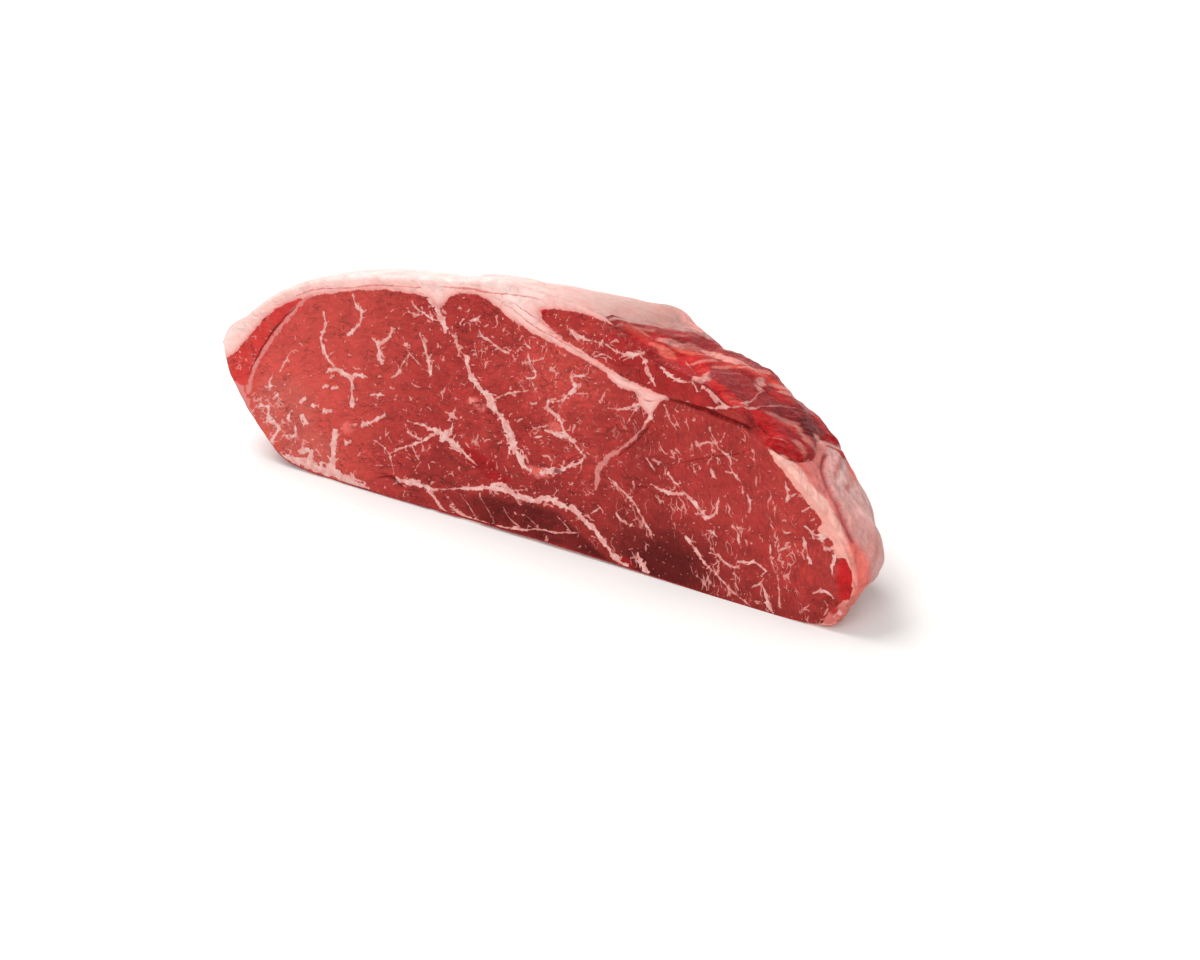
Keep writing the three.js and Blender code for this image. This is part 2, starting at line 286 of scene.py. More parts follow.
# Veins of fat on the cut face: widths along the line in mm, then its points.
VEINS = [
    ([4.2, 3.0, 2.2, 2.6, 1.8], [(54.5, 79), (57, 76), (59, 73), (61, 69.5), (61.2, 68.4)]),
    ([0.5, 1.1, 1.1, 0.9, 0.4], [(59, 71.5), (55, 71.6), (50, 73), (47.5, 74), (45.5, 76)]),
    ([0.3, 0.8, 0.4], [(51, 72.5), (47.5, 71.5), (44.5, 71.8)]),
    ([0.6, 1.0, 0.8, 1.6, 1.0], [(51, 64.5), (54, 60), (56.5, 55), (57.4, 51.5), (58, 50.5)]),
    ([0.3, 0.6, 0.3], [(45.5, 58), (49, 55.5), (53.5, 53)]),
    ([0.8, 1.3, 0.5, 1.7, 0.8, 2.9, 1.5, 2.2, 3.7, 2.1, 2.3, 2.5, 3.4, 4.2, 3.4, 2.4, 1.0], [
        (65.4, 67.4), (67.5, 64), (72.7, 60), (75.6, 54.4), (80, 51), (84, 48.4), (89, 44.2),
        (93, 40.6), (95.5, 37.4), (98.4, 33.3), (101, 29.6), (103.6, 26.8), (107, 25.8)]),
    ([0.5, 0.4], [(109.6, 24.6), (112.6, 25.4)]),
    ([0.8, 0.5, 0.8, 0.3], [(86, 47), (90, 50), (95, 52.6), (101, 54.5)]),
    ([0.5, 1.0, 1.0, 0.5], [(98, 68), (100, 65), (103, 61), (101, 59), (99, 59.5)]),
    ([0.6, 0.4], [(100, 65), (105, 67.5)]),
    ([0.6, 0.3], [(102, 58), (105, 54.5)]),
    ([0.6, 1.2, 1.0, 1.5, 1.0, 0.8], [
        (124, 68), (124, 66), (121, 64.5), (118, 63.5), (120, 60), (117, 56.5), (115, 54),
        (110, 52.5)]),
    ([0.9, 1.4, 1.0, 1.3, 0.8], [
        (110, 52.5), (110, 50), (113, 49), (117, 46), (119, 43), (123, 40.5), (128, 36.5)]),
    ([0.9, 1.4, 2.2, 1.8], [(128, 36.5), (127, 34), (122, 31), (118, 28.5), (112, 26)]),
    ([0.8, 1.6, 0.8], [(111, 42), (118, 41.5), (123, 41)]),
    ([0.3, 0.6, 0.4], [(135, 56), (142, 57), (147, 60)]),
    ([0.9, 3.8, 3.4, 1.6], [(62.5, 31), (68, 29.7), (72, 28), (76.5, 25.6)]),
    ([1.5, 1.2, 1.0, 0.9, 0.6], [(64, 29.5), (60, 26), (54, 22.5), (50, 20.5), (45, 17)]),
    ([0.8, 0.8, 0.5], [(45, 17), (40, 19.5), (37, 20)]),
    ([0.8, 0.5], [(45, 17), (48, 10)]),
    ([0.4, 0.8, 1.4], [(51, 31), (57, 31), (64, 30)]),
    ([1.4, 0.5], [(70, 30), (71, 35)]),
    ([1.6, 1.2, 0.6], [(75, 27), (80, 24), (84, 22)]),
    ([0.8, 0.5], [(51.5, 27), (58, 25.5)]),
    ([0.7, 0.4], [(54, 22.5), (58, 18)]),
    ([1.5, 1.2, 0.9], [(31, 25), (35, 27), (40, 31)]),
    ([0.8, 1.4, 1.2, 1.0, 0.6], [
        (6, 63), (7.5, 58.5), (6, 54), (7.5, 50), (11, 46), (14, 44.5)]),
    ([0.8, 1.6, 2.0, 1.6, 1.2, 1.8], [
        (11, 41), (14, 43), (20, 42), (23, 41), (24, 36), (25, 31)]),
    ([0.6, 1.2, 1.2, 1.4, 1.8], [
        (18, 73), (20, 70), (23, 67), (23.5, 63), (21, 60), (19, 58)]),
    ([0.6, 0.4], [(25, 68.5), (23, 67)]),
    ([0.7, 1.2, 1.6, 0.8], [(38, 64), (37.5, 61), (33, 57.5), (30, 58.5)]),
    ([1.4, 1.2, 2.6], [(33, 57.5), (34, 53), (35, 51)]),
    ([0.5, 1.0, 0.4], [(-7, 45), (-9, 41), (-11, 36)]),
    ([0.5, 1.2, 0.8], [(-14, 35), (-15, 30), (-12, 30)]),
    ([1.2, 1.8, 2.4, 2.0, 1.4, 1.6], [
        (-18, 21), (-14, 21), (-13, 16), (-8, 15), (-10, 9), (-11, 6)]),
    ([1.0, 0.5], [(-20, 20), (-22, 17)]),
    ([0.6, 1.2, 0.6], [(-3, 22), (-4, 19), (-2, 18)]),
    ([2.2, 2.4], [(3.5, 21), (4.6, 20)]),
    ([0.8, 1.4, 1.0], [(0, 17), (0, 13), (-3, 12)]),
    ([2.4, 2.8, 3.4], [(19, 19), (19, 12), (20, 6)]),
    ([2.6, 3.0, 2.4], [(5, 8), (8, 9), (10, 5)]),
    ([2.0, 3.4, 4.2, 4.6, 3.6, 2.0], [(-5, 4), (5, 3.5), (13, 3.5), (20, 3.5), (28, 2.5), (37, 1)]),
    ([0.5, 0.8, 0.9, 0.7, 0.8, 0.4], [
        (140, 31), (146, 28), (152, 24.5), (156, 20), (160, 16), (161, 14)]),
    ([0.5, 1.0, 1.4, 1.2, 1.2, 0.5], [
        (170, 34), (178, 29), (181, 27), (184, 29.5), (184, 32), (184, 35)]),
    ([0.5, 1.2, 0.8], [(158, 33), (165, 32), (170, 33)]),
    ([0.9, 1.1, 0.9, 0.8, 0.6, 0.4], [
        (174, 18), (178, 15), (183, 11), (190, 7), (197, 3), (205, 0)]),
    ([0.6, 1.5, 0.6], [(226.6, 12.2), (229.4, 13.6), (233, 12)]),
    ([1.0, 1.6, 1.2, 0.5], [(226, 33), (223, 31.5), (221, 32), (218.5, 33.5)]),
    ([1.4, 1.0, 0.4], [(230, 29), (227.5, 27.5), (226, 29)]),
    ([1.8, 1.3, 0.6], [(231.6, 27), (231.2, 23.6), (232, 19.6)]),
    ([0.9, 1.4, 0.5], [(226.6, 31.8), (225, 30.6), (222.4, 30.4)]),
    ([1.0, 0.4], [(219.4, 40.6), (216.6, 38.6)]),
    ([0.7, 0.6, 0.4], [(176, 58), (179, 54), (181, 52)]),
    ([0.5, 0.8, 0.3], [(173.5, 52), (176.5, 53.5), (179.5, 53.6)]),
    ([0.5, 0.3], [(182, 58), (181, 55)]),
    ([0.6, 0.6, 0.3], [(157, 62), (160, 58), (163, 55)]),
    ([0.6, 1.6, 1.2, 0.4], [(114, 80.4), (118, 78.6), (122, 78.2), (126, 78.6)]),
    ([0.6, 1.0, 1.2, 0.8], [(130, 78), (136, 76.5), (141, 77), (146, 79)]),
    ([0.8, 0.5], [(141, 77), (138, 74.5)]),
    ([0.9, 0.8, 0.5], [(147, 76), (147, 73), (150, 70)]),
    ([0.6, 0.3], [(128, 79), (127, 76)]),
    ([2.0, 1.2, 0.6], [(152.2, 58.4), (151.8, 56.4), (150.6, 54)]),
    ([0.4, 0.8, 1.2], [(137.5, 56.2), (142, 57.4), (146.6, 60.2)]),
    ([0.5, 0.9, 0.6], [(143.2, 52.6), (144.2, 55), (146.6, 58.6)]),
    ([0.6, 1.3, 1.1, 0.7], [(143.5, 78.5), (147, 74.8), (149.5, 71.2), (151.5, 68.4)]),
    ([0.7, 1.4, 1.2, 1.3, 1.0, 0.6], [
        (152.6, 77.4), (153.8, 75.2), (156, 73.4), (159, 72.4), (162, 72), (165.5, 72.2)]),
    ([1.4, 1.1, 0.9, 0.5], [(170.6, 75), (172.6, 73), (174.4, 69.8), (176.4, 68)]),
    ([0.5, 0.9, 1.0, 0.7], [(173.6, 65.4), (176.9, 65.9), (182.2, 67.5), (187.4, 68.6)]),
    ([1.6, 1.0, 0.8, 0.6], [(170.4, 74.6), (171.6, 71.6), (177.6, 69.2), (181.6, 67.4)]),
    ([0.5, 1.0, 0.6], [(163.4, 75.4), (166, 73.4), (168.6, 70.4)]),
    ([0.4, 0.8, 0.3], [(126, 73), (129, 74.4), (133, 74)]),
]

# Short flecks of fat that stand out on the cut face, listed like the veins.
FLECKS = [
    ([1.0, 1.4, 0.8], [(24.5, 43), (27, 43.6), (29.5, 43.4)]),
    ([0.6, 1.2, 0.5, 0.5], [(40.7, 45.8), (43.3, 47.7), (44.5, 51), (46.5, 55.5)]),
    ([0.4, 1.2, 0.4], [(32.7, 36.7), (34.6, 37.8), (38.8, 38.2)]),
    ([1.2, 1.3], [(1.4, 27.6), (2.6, 28.4)]),
    ([1.3, 1.5], [(6.8, 26.8), (8.8, 27.4)]),
    ([1.5, 1.1], [(12.8, 26.4), (15.2, 26.8)]),
    ([1.3, 0.9], [(11, 35.2), (12.2, 36)]),
    ([1.2, 1.2], [(15.4, 35.6), (16.4, 35.8)]),
    ([1.3, 1.1], [(-11.8, 25.6), (-10.8, 26.8)]),
    ([1.7, 1.9], [(24.7, 16.3), (25.8, 17.1)]),
    ([1.2, 1.0], [(45, 59.3), (46.6, 59.5)]),
    ([0.5, 1.6, 0.4], [(71.9, 74.2), (73.4, 75), (75, 76.6)]),
    ([0.4, 1.2, 0.4], [(72.6, 76.6), (73.6, 75), (74.4, 73.6)]),
    ([1.1, 1.3], [(67.6, 73), (68.4, 74)]),
    ([0.4, 1.3, 0.5], [(64.6, 68.2), (65.8, 67), (67, 67.4)]),
    ([0.5, 0.8, 0.9, 0.6, 1.0], [
        (76, 71.7), (77.6, 69.8), (81.4, 68.8), (85.4, 67), (89.7, 66.3)]),
    ([0.5, 0.9], [(97, 71), (98.4, 70.2)]),
    ([0.9, 0.5], [(109, 64.8), (110.2, 64.2)]),
    ([0.4, 0.9, 0.4], [(102.6, 50.6), (103.8, 50.2), (105, 50.7)]),
    ([0.6, 1.2, 0.6], [(106.6, 38.2), (108, 38.8), (109.4, 39.4)]),
    ([0.5, 1.5, 0.5], [(67, 38.4), (69.8, 38), (72, 37)]),
    ([0.5, 1.4, 0.4], [(68.8, 36), (70, 38.2), (70.6, 40)]),
    ([0.4, 0.9, 0.4], [(103.6, 18.6), (105.3, 19.4), (107, 18)]),
    ([0.5, 1.0, 0.4], [(135.2, 16.8), (136.4, 17.8), (137.8, 19)]),
    ([0.5, 0.9, 0.6, 0.4], [(145, 19.6), (146, 18), (149.5, 16.8), (152.8, 16.6)]),
    ([0.4, 0.9, 0.4], [(153.4, 42), (155, 40.6), (157.5, 38.6)]),
    ([0.4, 1.0, 0.3], [(171.7, 52.4), (173, 51), (174.2, 50)]),
    ([0.3, 0.8, 0.3], [(164.5, 47.6), (167.2, 46.2)]),
    ([0.3, 0.7, 0.4], [(157.4, 48.6), (159.4, 46), (161.4, 45.4)]),
    ([0.4, 1.2, 0.6], [(182.6, 51.4), (185.2, 50.2), (186.2, 48)]),
    ([0.3, 0.6, 0.3], [(185.4, 50.6), (188, 50)]),
    ([0.4, 1.5, 0.5], [(179, 44.4), (180, 42.6), (181.6, 41.6)]),
    ([1.2, 1.2], [(185.6, 44.9), (186.6, 44.9)]),
    ([0.4, 1.0, 0.3], [(188.2, 45), (189.6, 43.8), (191.4, 42.4)]),
    ([0.8, 1.3, 1.0, 0.6], [(163.6, 38.2), (165.6, 36.6), (168, 35.4)]),
    ([0.3, 0.8, 0.3], [(192.4, 40.8), (193, 38.2)]),
    ([0.3, 0.9, 0.9, 0.4], [(194.6, 38.6), (196.2, 36.6), (196.6, 33.4)]),
    ([0.3, 0.7, 0.3], [(196.8, 45.2), (197.2, 42.6)]),
    ([0.4, 1.5, 0.5], [(208.2, 46.6), (209.8, 42.4), (209.4, 40.2)]),
    ([0.9, 0.4], [(210, 42.2), (212.4, 43.4)]),
    ([0.3, 1.3, 0.4], [(206.2, 37.8), (206, 35.6), (206.4, 33.4)]),
    ([0.5, 1.1, 0.5, 1.0], [(218.6, 29.4), (220, 26.6), (221.4, 24), (222.4, 22)]),
    ([0.3, 0.7, 0.4], [(205.4, 30.8), (207.4, 29.4), (208.2, 27)]),
    ([0.3, 0.6, 0.3], [(210, 30.4), (211.6, 29.2), (213, 29.6)]),
    ([1.0, 0.8, 1.2, 0.4], [(191.8, 26.2), (193.2, 25.4), (194.4, 23), (195.2, 20.8)]),
    ([0.9, 0.4], [(194, 26.6), (196.2, 26.8)]),
    ([0.4, 1.2, 0.3], [(182, 22.6), (183.6, 22.6), (185.6, 21.6)]),
    ([0.6, 1.5, 0.5], [(207, 23.2), (207, 22), (207.2, 21)]),
    ([0.5, 1.2, 0.4], [(210.4, 22.8), (212, 24), (214, 25)]),
    ([0.3, 0.7, 0.3], [(215.6, 26.6), (217.6, 24)]),
    ([0.4, 0.7, 0.8, 1.1], [(184.6, 14.8), (188, 14.6), (191.2, 12.8), (194.4, 12.6)]),
    ([0.5, 1.2, 0.9, 0.8], [(195.8, 14.6), (199.8, 15.6), (203, 16), (206.4, 14.6)]),
    ([0.3, 0.7, 0.3], [(208.6, 17.8), (210.6, 15)]),
    ([0.3, 0.6, 0.7, 0.4], [(211.6, 13.6), (213, 9), (214, 5.4), (214.8, 3)]),
    ([0.4, 0.9, 1.1, 1.8, 0.8], [(203, 7.4), (205.6, 9), (208.4, 7), (209.4, 3.6), (212, 0.8)]),
    ([0.3, 0.7], [(206.2, 11.4), (205.8, 9)]),
    ([0.4, 0.7, 0.5, 0.4], [(184.6, 10.4), (186, 8), (185.2, 5.6), (184.8, 3.6)]),
    ([1.2, 2.8, 1.8], [(156.6, 6.4), (158.4, 4), (160.8, 1.4)]),
]

# Smooth bands and threads of fat round and in the low muscle, listed like the veins.
BANDS = [
    ([2.4, 3.2, 2.0, 1.0], [(50.5, 7.8), (56, 8.6), (62, 8.6), (68, 8.2)]),
    ([1.0, 1.2, 1.0, 1.4], [(62, 8.4), (67, 5.6), (71, 2.4), (76, 0.8)]),
    ([0.8, 0.8, 1.0, 2.2, 2.8, 2.4, 2.2, 2.6, 3.0, 2.8, 2.4, 2.2, 2.2, 2.8], [
        (66, 8.2), (75, 10.6), (85, 13.4), (90, 15), (95, 15.5), (103, 15), (110, 15), (115, 17),
        (122, 16.5), (128, 15.5), (134, 12.5), (140, 9.5), (144, 6), (148, 3), (152, 1.5)]),
    ([0.8, 1.8, 0.8], [(91, 16.5), (95, 17.6), (101, 16.5)]),
    ([0.8, 1.4, 1.5, 1.2, 1.0, 0.8, 0.5], [
        (75, 3.6), (83, 1.6), (92, 1.0), (101, 2.2), (108, 3.2), (114, 5), (121, 5.5), (128, 7.5)]),
    ([0.3, 0.5, 0.7, 0.4], [(121, 11.6), (124.6, 9.6), (127.6, 7.4), (130.4, 8)]),
    ([0.3, 0.5, 0.6], [(98, 9), (102, 5.4), (108, 3.2)]),
    ([0.3, 0.4, 0.4], [(108, 8.6), (112, 6.6), (114.8, 5.6)]),
    ([0.3, 0.5, 0.4], [(87, 10.6), (91, 7), (95.4, 2.2)]),
    ([0.3, 0.5, 0.3], [(72, 7.6), (76, 5), (82, 2)]),
    ([0.3, 0.5, 0.4], [(78.6, 9.4), (82.6, 6.2), (88, 1.4)]),
]

# Pale membranes between muscles: thinner, greyer and even along their length.
MEMBRANES = [
    ([1.4, 2.0, 2.4, 2.2, 2.0, 2.2], [
        (0, 69.5), (-5, 65), (-10, 59), (-15, 51), (-20, 43), (-23.6, 34), (-25, 25)]),
    ([3.2, 4.8, 4.4, 3.0], [(-31, 26), (-28, 24), (-25.5, 20.5), (-22, 16.5)]),
    ([0.7, 0.9, 1.2, 1.6, 2.2, 2.4, 1.2], [
        (152, 56), (147, 48), (142, 42), (138, 38.5), (135.5, 34), (135, 30), (135, 26)]),
]

# Creases, open seams and thin lines of blood: widths in mm, depth in mm, points.
# Creases are painted dark red over lean and fat: painted shade in the creases and open seams, and the real
# red of the thin blood lines.
CREASES = [
    ([0.4, 0.8, 0.9, 0.7, 0.3], 0.6, [
        (-8, 62.4), (-13, 57), (-18.6, 48.6), (-22.6, 40.4), (-26, 32)]),
    ([0.4, 0.9, 1.3, 1.5, 1.0, 0.3], 1.9, [
        (157, 64.6), (165, 64.5), (172, 64.2), (180, 63.2), (190, 62.0), (197, 60.2)]),
    ([0.3, 0.8, 0.4], 0.6, [(153, 55), (148.5, 47.5), (142.5, 40.5)]),
    ([0.2, 0.4, 0.3], 0.3, [(163, 42), (170, 45), (180, 49), (188, 52), (193, 55)]),
    ([0.4, 1.2, 0.5], 1.2, [(41, 6.5), (47, 8), (53, 5.5)]),
    ([0.8, 1.9, 1.2, 0.6], 0.5, [(117.4, 27.8), (118.6, 28.4), (120.2, 28)]),
    ([0.5, 1.0, 0.4], 0.4, [(79.6, 44.9), (81.2, 45.3), (82.6, 44.6)]),
    ([0.3, 0.7, 0.3], 0.4, [(148.4, 62.6), (151, 62.2), (153.2, 63.2)]),
    ([0.2, 0.6, 0.5, 0.2], 0.5, [(150, 30.6), (155, 31.6), (160, 30.2), (165, 31)]),
    ([0.2, 0.4, 0.2], 0.3, [(162, 16), (167, 17), (172, 19)]),
    ([0.3, 0.7, 0.5, 0.4], 0.1, [(-8, 67), (0, 71), (15, 75), (30, 79), (48, 82)]),
    ([0.4, 0.8, 0.6, 0.5, 0.3], 0.1, [(56, 84), (70, 86), (80, 86.5), (90, 88), (100, 88.5)]),
    ([0.2, 0.6, 0.5, 0.3], 0.1, [(84, 84), (92, 81.2), (100, 78), (112, 75.4), (122, 72.4)]),
    ([0.3, 0.5, 0.2], 0.1, [(88, 85), (96, 82.6), (104, 79.6), (112, 76.4)]),
]

# Where fat takes over on the outer skin: (depth from the cut face, u of the top edge). The cap
# ends there on the left and the end's fat starts on the right.
CAP_END = [
    (0, 129), (3, 131.3), (6, 133), (10.5, 135.4), (14, 138), (17, 140.8), (21, 144.2), (25, 147),
    (30, 149.2), (34, 150.6), (40, 152),
]
END_START = [
    (0, 200), (1, 203.5), (5.4, 206.4), (10, 208), (14, 209), (17, 208.3), (19.5, 207),
    (22.5, 203.5), (26, 204.5), (31, 205), (40, 211),
]
# Outer border of the pale strip along the end's cut edge, and the groove behind it, as (u of the
# top edge, depth). Everything else on the skin is listed by such places too: its strands of fat,
# like the veins, with small pale glints painted among them, and its smears, grooves and folds.
STRIP_BORDER = [
    (198, 0), (202, 3.4), (205.3, 4.4), (210.9, 5.4), (213.4, 4.2), (215.6, 2.8), (217.7, 2.6),
    (220.2, 3.4), (222.5, 4.2), (224.2, 3.4), (226.4, 2.5), (229.5, 1.6), (233, 1.0), (241, 0.5),
]
GROOVE = [
    (209.5, 22.5), (210.5, 19.8), (212.9, 15.6), (217.2, 11.8), (221.4, 8.8), (224.8, 7.0),
    (228.4, 4.2), (231.6, 3.2), (234.3, 2.6),
]
SKIN_STRANDS_AND_GLINTS = [
    ([0.8, 1.0, 0.8, 0.6, 0.3], [(184, 0), (185.8, 2.5), (187.7, 10), (190.2, 19.4), (192.6, 24.5)]),
    ([1.2, 2.2, 0.8], [(184, 4), (184.6, 6), (184, 8.4)]),
    ([0.4, 0.6, 0.7, 0.4], [(185.8, 2.5), (184.5, 9.3), (183.9, 13.5), (183.2, 20.2)]),
    # The last four are short pale threads on the torn top: partly bits of fat, partly painted highlights
    # where it glistens.
    ([0.3, 0.6, 0.5, 0.7, 0.3], [(156.6, 9.4), (159, 7.6), (161.6, 6), (164, 4.4), (165.2, 3.4)]),
    ([0.4, 0.7, 0.4], [(146.4, 4.4), (148.4, 6), (150, 8.2)]),
    ([0.3, 0.6, 0.3], [(135.4, 2.6), (136.8, 3.6), (138.2, 3.4)]),
    ([0.4, 0.9, 0.6], [(198.2, 3.4), (200, 5), (201.4, 6.6)]),
]


def beside_cap(by):
    """The line beside the end of the cap, by some mm of the edge's u past it."""
    return [(u_at + by, depth) for depth, u_at in CAP_END]


# Broad soft smears on the skin over the top, in the order in which they lie over each other: the
# tint on a screen, the share of it, widths in mm, points. Those along the end's folds and groove are
# painted highlights and shade.
SMEARS = [
    ((158, 62, 58), 0.85, [0.2, 1.4, 2.6, 2.4, 1.0], beside_cap(3.2)),
    ((206, 158, 150), 0.9, [0.6, 1.6, 1.8, 1.8, 1.2], beside_cap(0.9)),
    ((200, 138, 132), 0.75, [0.3, 0.7, 0.9, 0.9, 0.5], beside_cap(4.6)),
    ((194, 66, 52), 0.8, [2.4, 4.4, 3.0], [(134.5, 2.2), (138, 3.2), (142, 4.6)]),
    ((216, 120, 104), 0.7, [0.5, 1.2, 0.6], [(135, 5), (138.6, 6), (142, 8)]),
    ((190, 34, 28), 0.85, [1.6, 3.0, 2.0], [(138.4, 1.2), (141.4, 2.6), (144.6, 3)]),
    ((150, 44, 46), 0.85, [3.0, 5.0, 4.0], [(142.4, 13.6), (145, 17.4), (148, 21)]),
    ((158, 28, 32), 0.9, [4.0, 7.0, 7.0, 4.0], [(147.5, 20), (150.8, 25), (154, 29), (158, 32)]),
    ((206, 120, 114), 0.6, [0.6, 1.2, 0.6], [(145.6, 17), (148, 21.6), (150, 26)]),
    ((196, 18, 18), 0.95, [4.0, 9.0, 11.0, 9.0, 4.0], [
        (151, 6.5), (154.5, 9), (158.5, 10), (162.5, 7.6), (166.5, 5)]),
    ((228, 100, 84), 0.9, [3.6, 6.4, 4.4], [(146.5, 5), (149, 5.4), (152, 7.4)]),
    ((222, 92, 72), 0.85, [1.0, 2.6, 2.6, 1.4], [(149.5, 11), (153, 14.4), (157, 18), (161, 19.6)]),
    ((214, 142, 132), 0.9, [1.6, 3.2, 2.6], [(144.6, 9.4), (147.6, 12.4), (150.6, 15.6)]),
    ((206, 120, 112), 0.65, [2.6, 3.4, 3.6], [(150.6, 15.6), (153.6, 20), (157.4, 22.6)]),
    ((226, 148, 138), 0.95, [3.0, 4.4, 4.6, 3.8, 2.0], [
        (157.4, 22.4), (161.6, 22.8), (166, 23), (171, 24.6), (177, 26)]),
    ((206, 40, 34), 0.85, [1.4, 3.0, 2.0], [(164.4, 13.4), (166.6, 17), (168.8, 20.4)]),
    ((222, 122, 112), 0.85, [0.6, 1.7, 1.6, 0.8], [(160, 7.6), (161.8, 12), (163.4, 15), (165, 18)]),
    ((150, 40, 43), 0.92, [6.0, 11.0, 13.0, 11.0, 7.0], [
        (170.6, 10), (175, 11), (180.4, 13), (186, 14), (191, 17)]),
    ((228, 124, 110), 0.85, [0.8, 1.9, 1.8, 0.8], [
        (166.8, 12), (168.4, 15.6), (170.2, 19.4), (172, 22)]),
    ((178, 84, 84), 0.6, [0.4, 1.0, 0.5], [(171.6, 11), (173, 14.6), (174.6, 18)]),
    ((178, 84, 84), 0.5, [0.4, 0.9, 0.4], [(175.6, 8), (177.6, 12), (180, 17)]),
    ((198, 24, 26), 0.95, [2.6, 5.0, 5.4, 3.0], [(172.6, 2.4), (177, 3), (182, 3), (186.5, 3)]),
    ((212, 76, 64), 0.75, [1.4, 3.0, 1.6], [(180.5, 2), (182.8, 3.2), (185, 3.4)]),
    ((228, 152, 142), 0.95, [1.6, 3.4, 2.6, 1.2], [(166.6, 0.6), (169.2, 1.6), (169.4, 4.6), (168, 8)]),
    ((214, 58, 44), 0.85, [2.0, 5.0, 5.0, 4.4, 4.0], [
        (171.5, 20.4), (175, 24.6), (179, 27.4), (183, 29), (188, 32)]),
    ((226, 132, 118), 0.8, [1.0, 2.0, 2.2], [(172.4, 21), (174.8, 26), (177, 31)]),
    ((224, 140, 128), 0.8, [0.6, 1.6, 1.8], [(181.6, 25), (183, 29), (185, 34)]),
    ((214, 142, 134), 0.95, [1.2, 2.8, 2.4, 1.2], [(181.8, 16), (181, 19), (180, 22), (179.2, 25)]),
    ((220, 140, 130), 0.9, [1.2, 2.0, 1.2], [(185.7, 27.6), (186.4, 28.8), (187.2, 30)]),
    ((132, 34, 38), 0.85, [4.0, 7.0, 8.0, 6.0], [(188.6, 15.6), (192, 19.6), (195.6, 23), (199, 27)]),
    ((176, 92, 90), 0.6, [0.4, 1.2, 0.6], [(189.4, 20), (191.4, 22.4), (193.6, 23)]),
    ((186, 20, 22), 0.9, [3.0, 4.6, 4.6, 3.4], [(188, 34), (193, 33.5), (197.6, 33), (202, 32.5)]),
    ((188, 22, 25), 0.95, [3.0, 8.0, 10.0, 8.0], [(187.5, 4.5), (191, 6), (195, 7), (199, 7.6)]),
    ((206, 60, 50), 0.8, [1.0, 2.2, 1.4], [(193.6, 11.6), (196.4, 15), (198.8, 16.6)]),
    ((158, 28, 33), 0.8, [2.4, 4.6, 5.0, 4.0], [(195.6, 9.4), (199.5, 11), (203, 13.4), (206.6, 15)]),
    ((92, 16, 20), 0.95, [3.4, 5.6, 5.4, 3.0], [(196.8, 23.4), (199, 23.2), (201, 22.6), (202.8, 21.6)]),
    ((182, 10, 16), 0.95, [3.0, 4.4, 5.0, 3.4], [(199.2, 1), (201.5, 3), (204, 6.4), (206, 9.4)]),
    ((206, 114, 104), 0.85, [1.2, 3.0, 2.6, 1.0], [(201.4, 11), (203.4, 12.2), (205.6, 12), (207.2, 11)]),
    ((196, 118, 110), 0.9, [0.8, 1.8, 2.2, 1.8, 1.8, 2.2, 1.6], [
        (190.6, 11), (194.5, 15.6), (197.2, 18.8), (199.6, 18.6), (202, 17), (205.4, 17.4),
        (209, 19.6)]),
    ((226, 150, 142), 0.9, [1.4, 2.2, 1.6], [(203, 23.6), (205, 24.6), (207.2, 24)]),
    ((166, 8, 12), 0.95, [1.0, 2.6, 3.0, 2.4], [(203.6, 26.6), (204.8, 29.7), (206.2, 33), (207.2, 36)]),
    ((174, 18, 18), 0.95, [0.8, 2.0, 2.6, 2.6], [(206.8, 25.4), (208.3, 27.6), (210, 30), (212, 33.5)]),
    ((216, 92, 76), 0.8, [2.0, 3.0, 3.4, 2.4], [(208.6, 35.4), (212, 34.4), (216, 31.6), (219.6, 29.4)]),
    ((222, 96, 82), 0.7, [1.2, 3.0, 2.0], [(206.6, 6), (209.5, 6.6), (213, 6.2)]),
    # Painted highlights and shade along the lobe's folds: pale smears on their ridges, darker red lines
    # beside them.
    ((190, 92, 92), 0.75, [0.8, 1.6, 1.4, 0.8], [(212, 27.6), (213.8, 24.4), (215.2, 19.8), (217.6, 16)]),
    ((236, 202, 196), 0.8, [0.6, 1.5, 1.7, 0.9], [(214.4, 29.8), (215.8, 25), (217.4, 20.6), (220, 15.8)]),
    ((186, 84, 82), 0.7, [0.5, 1.2, 0.6], [(220.4, 22), (221.4, 19), (222.8, 16.6)]),
    ((234, 198, 192), 0.8, [0.6, 1.8, 0.9], [(221.8, 25), (222.8, 21.8), (224.2, 18.6)]),
    ((228, 184, 180), 0.85, [0.6, 1.6, 1.2, 0.6], [(210.9, 22.8), (212.8, 20), (215.2, 17.2), (218, 14.8)]),
    # Along the groove: partly its own dark purple, partly painted shade in it.
    ((146, 44, 58), 0.8, [0.4, 0.7, 0.9, 0.8, 0.9, 0.6], GROOVE),
]
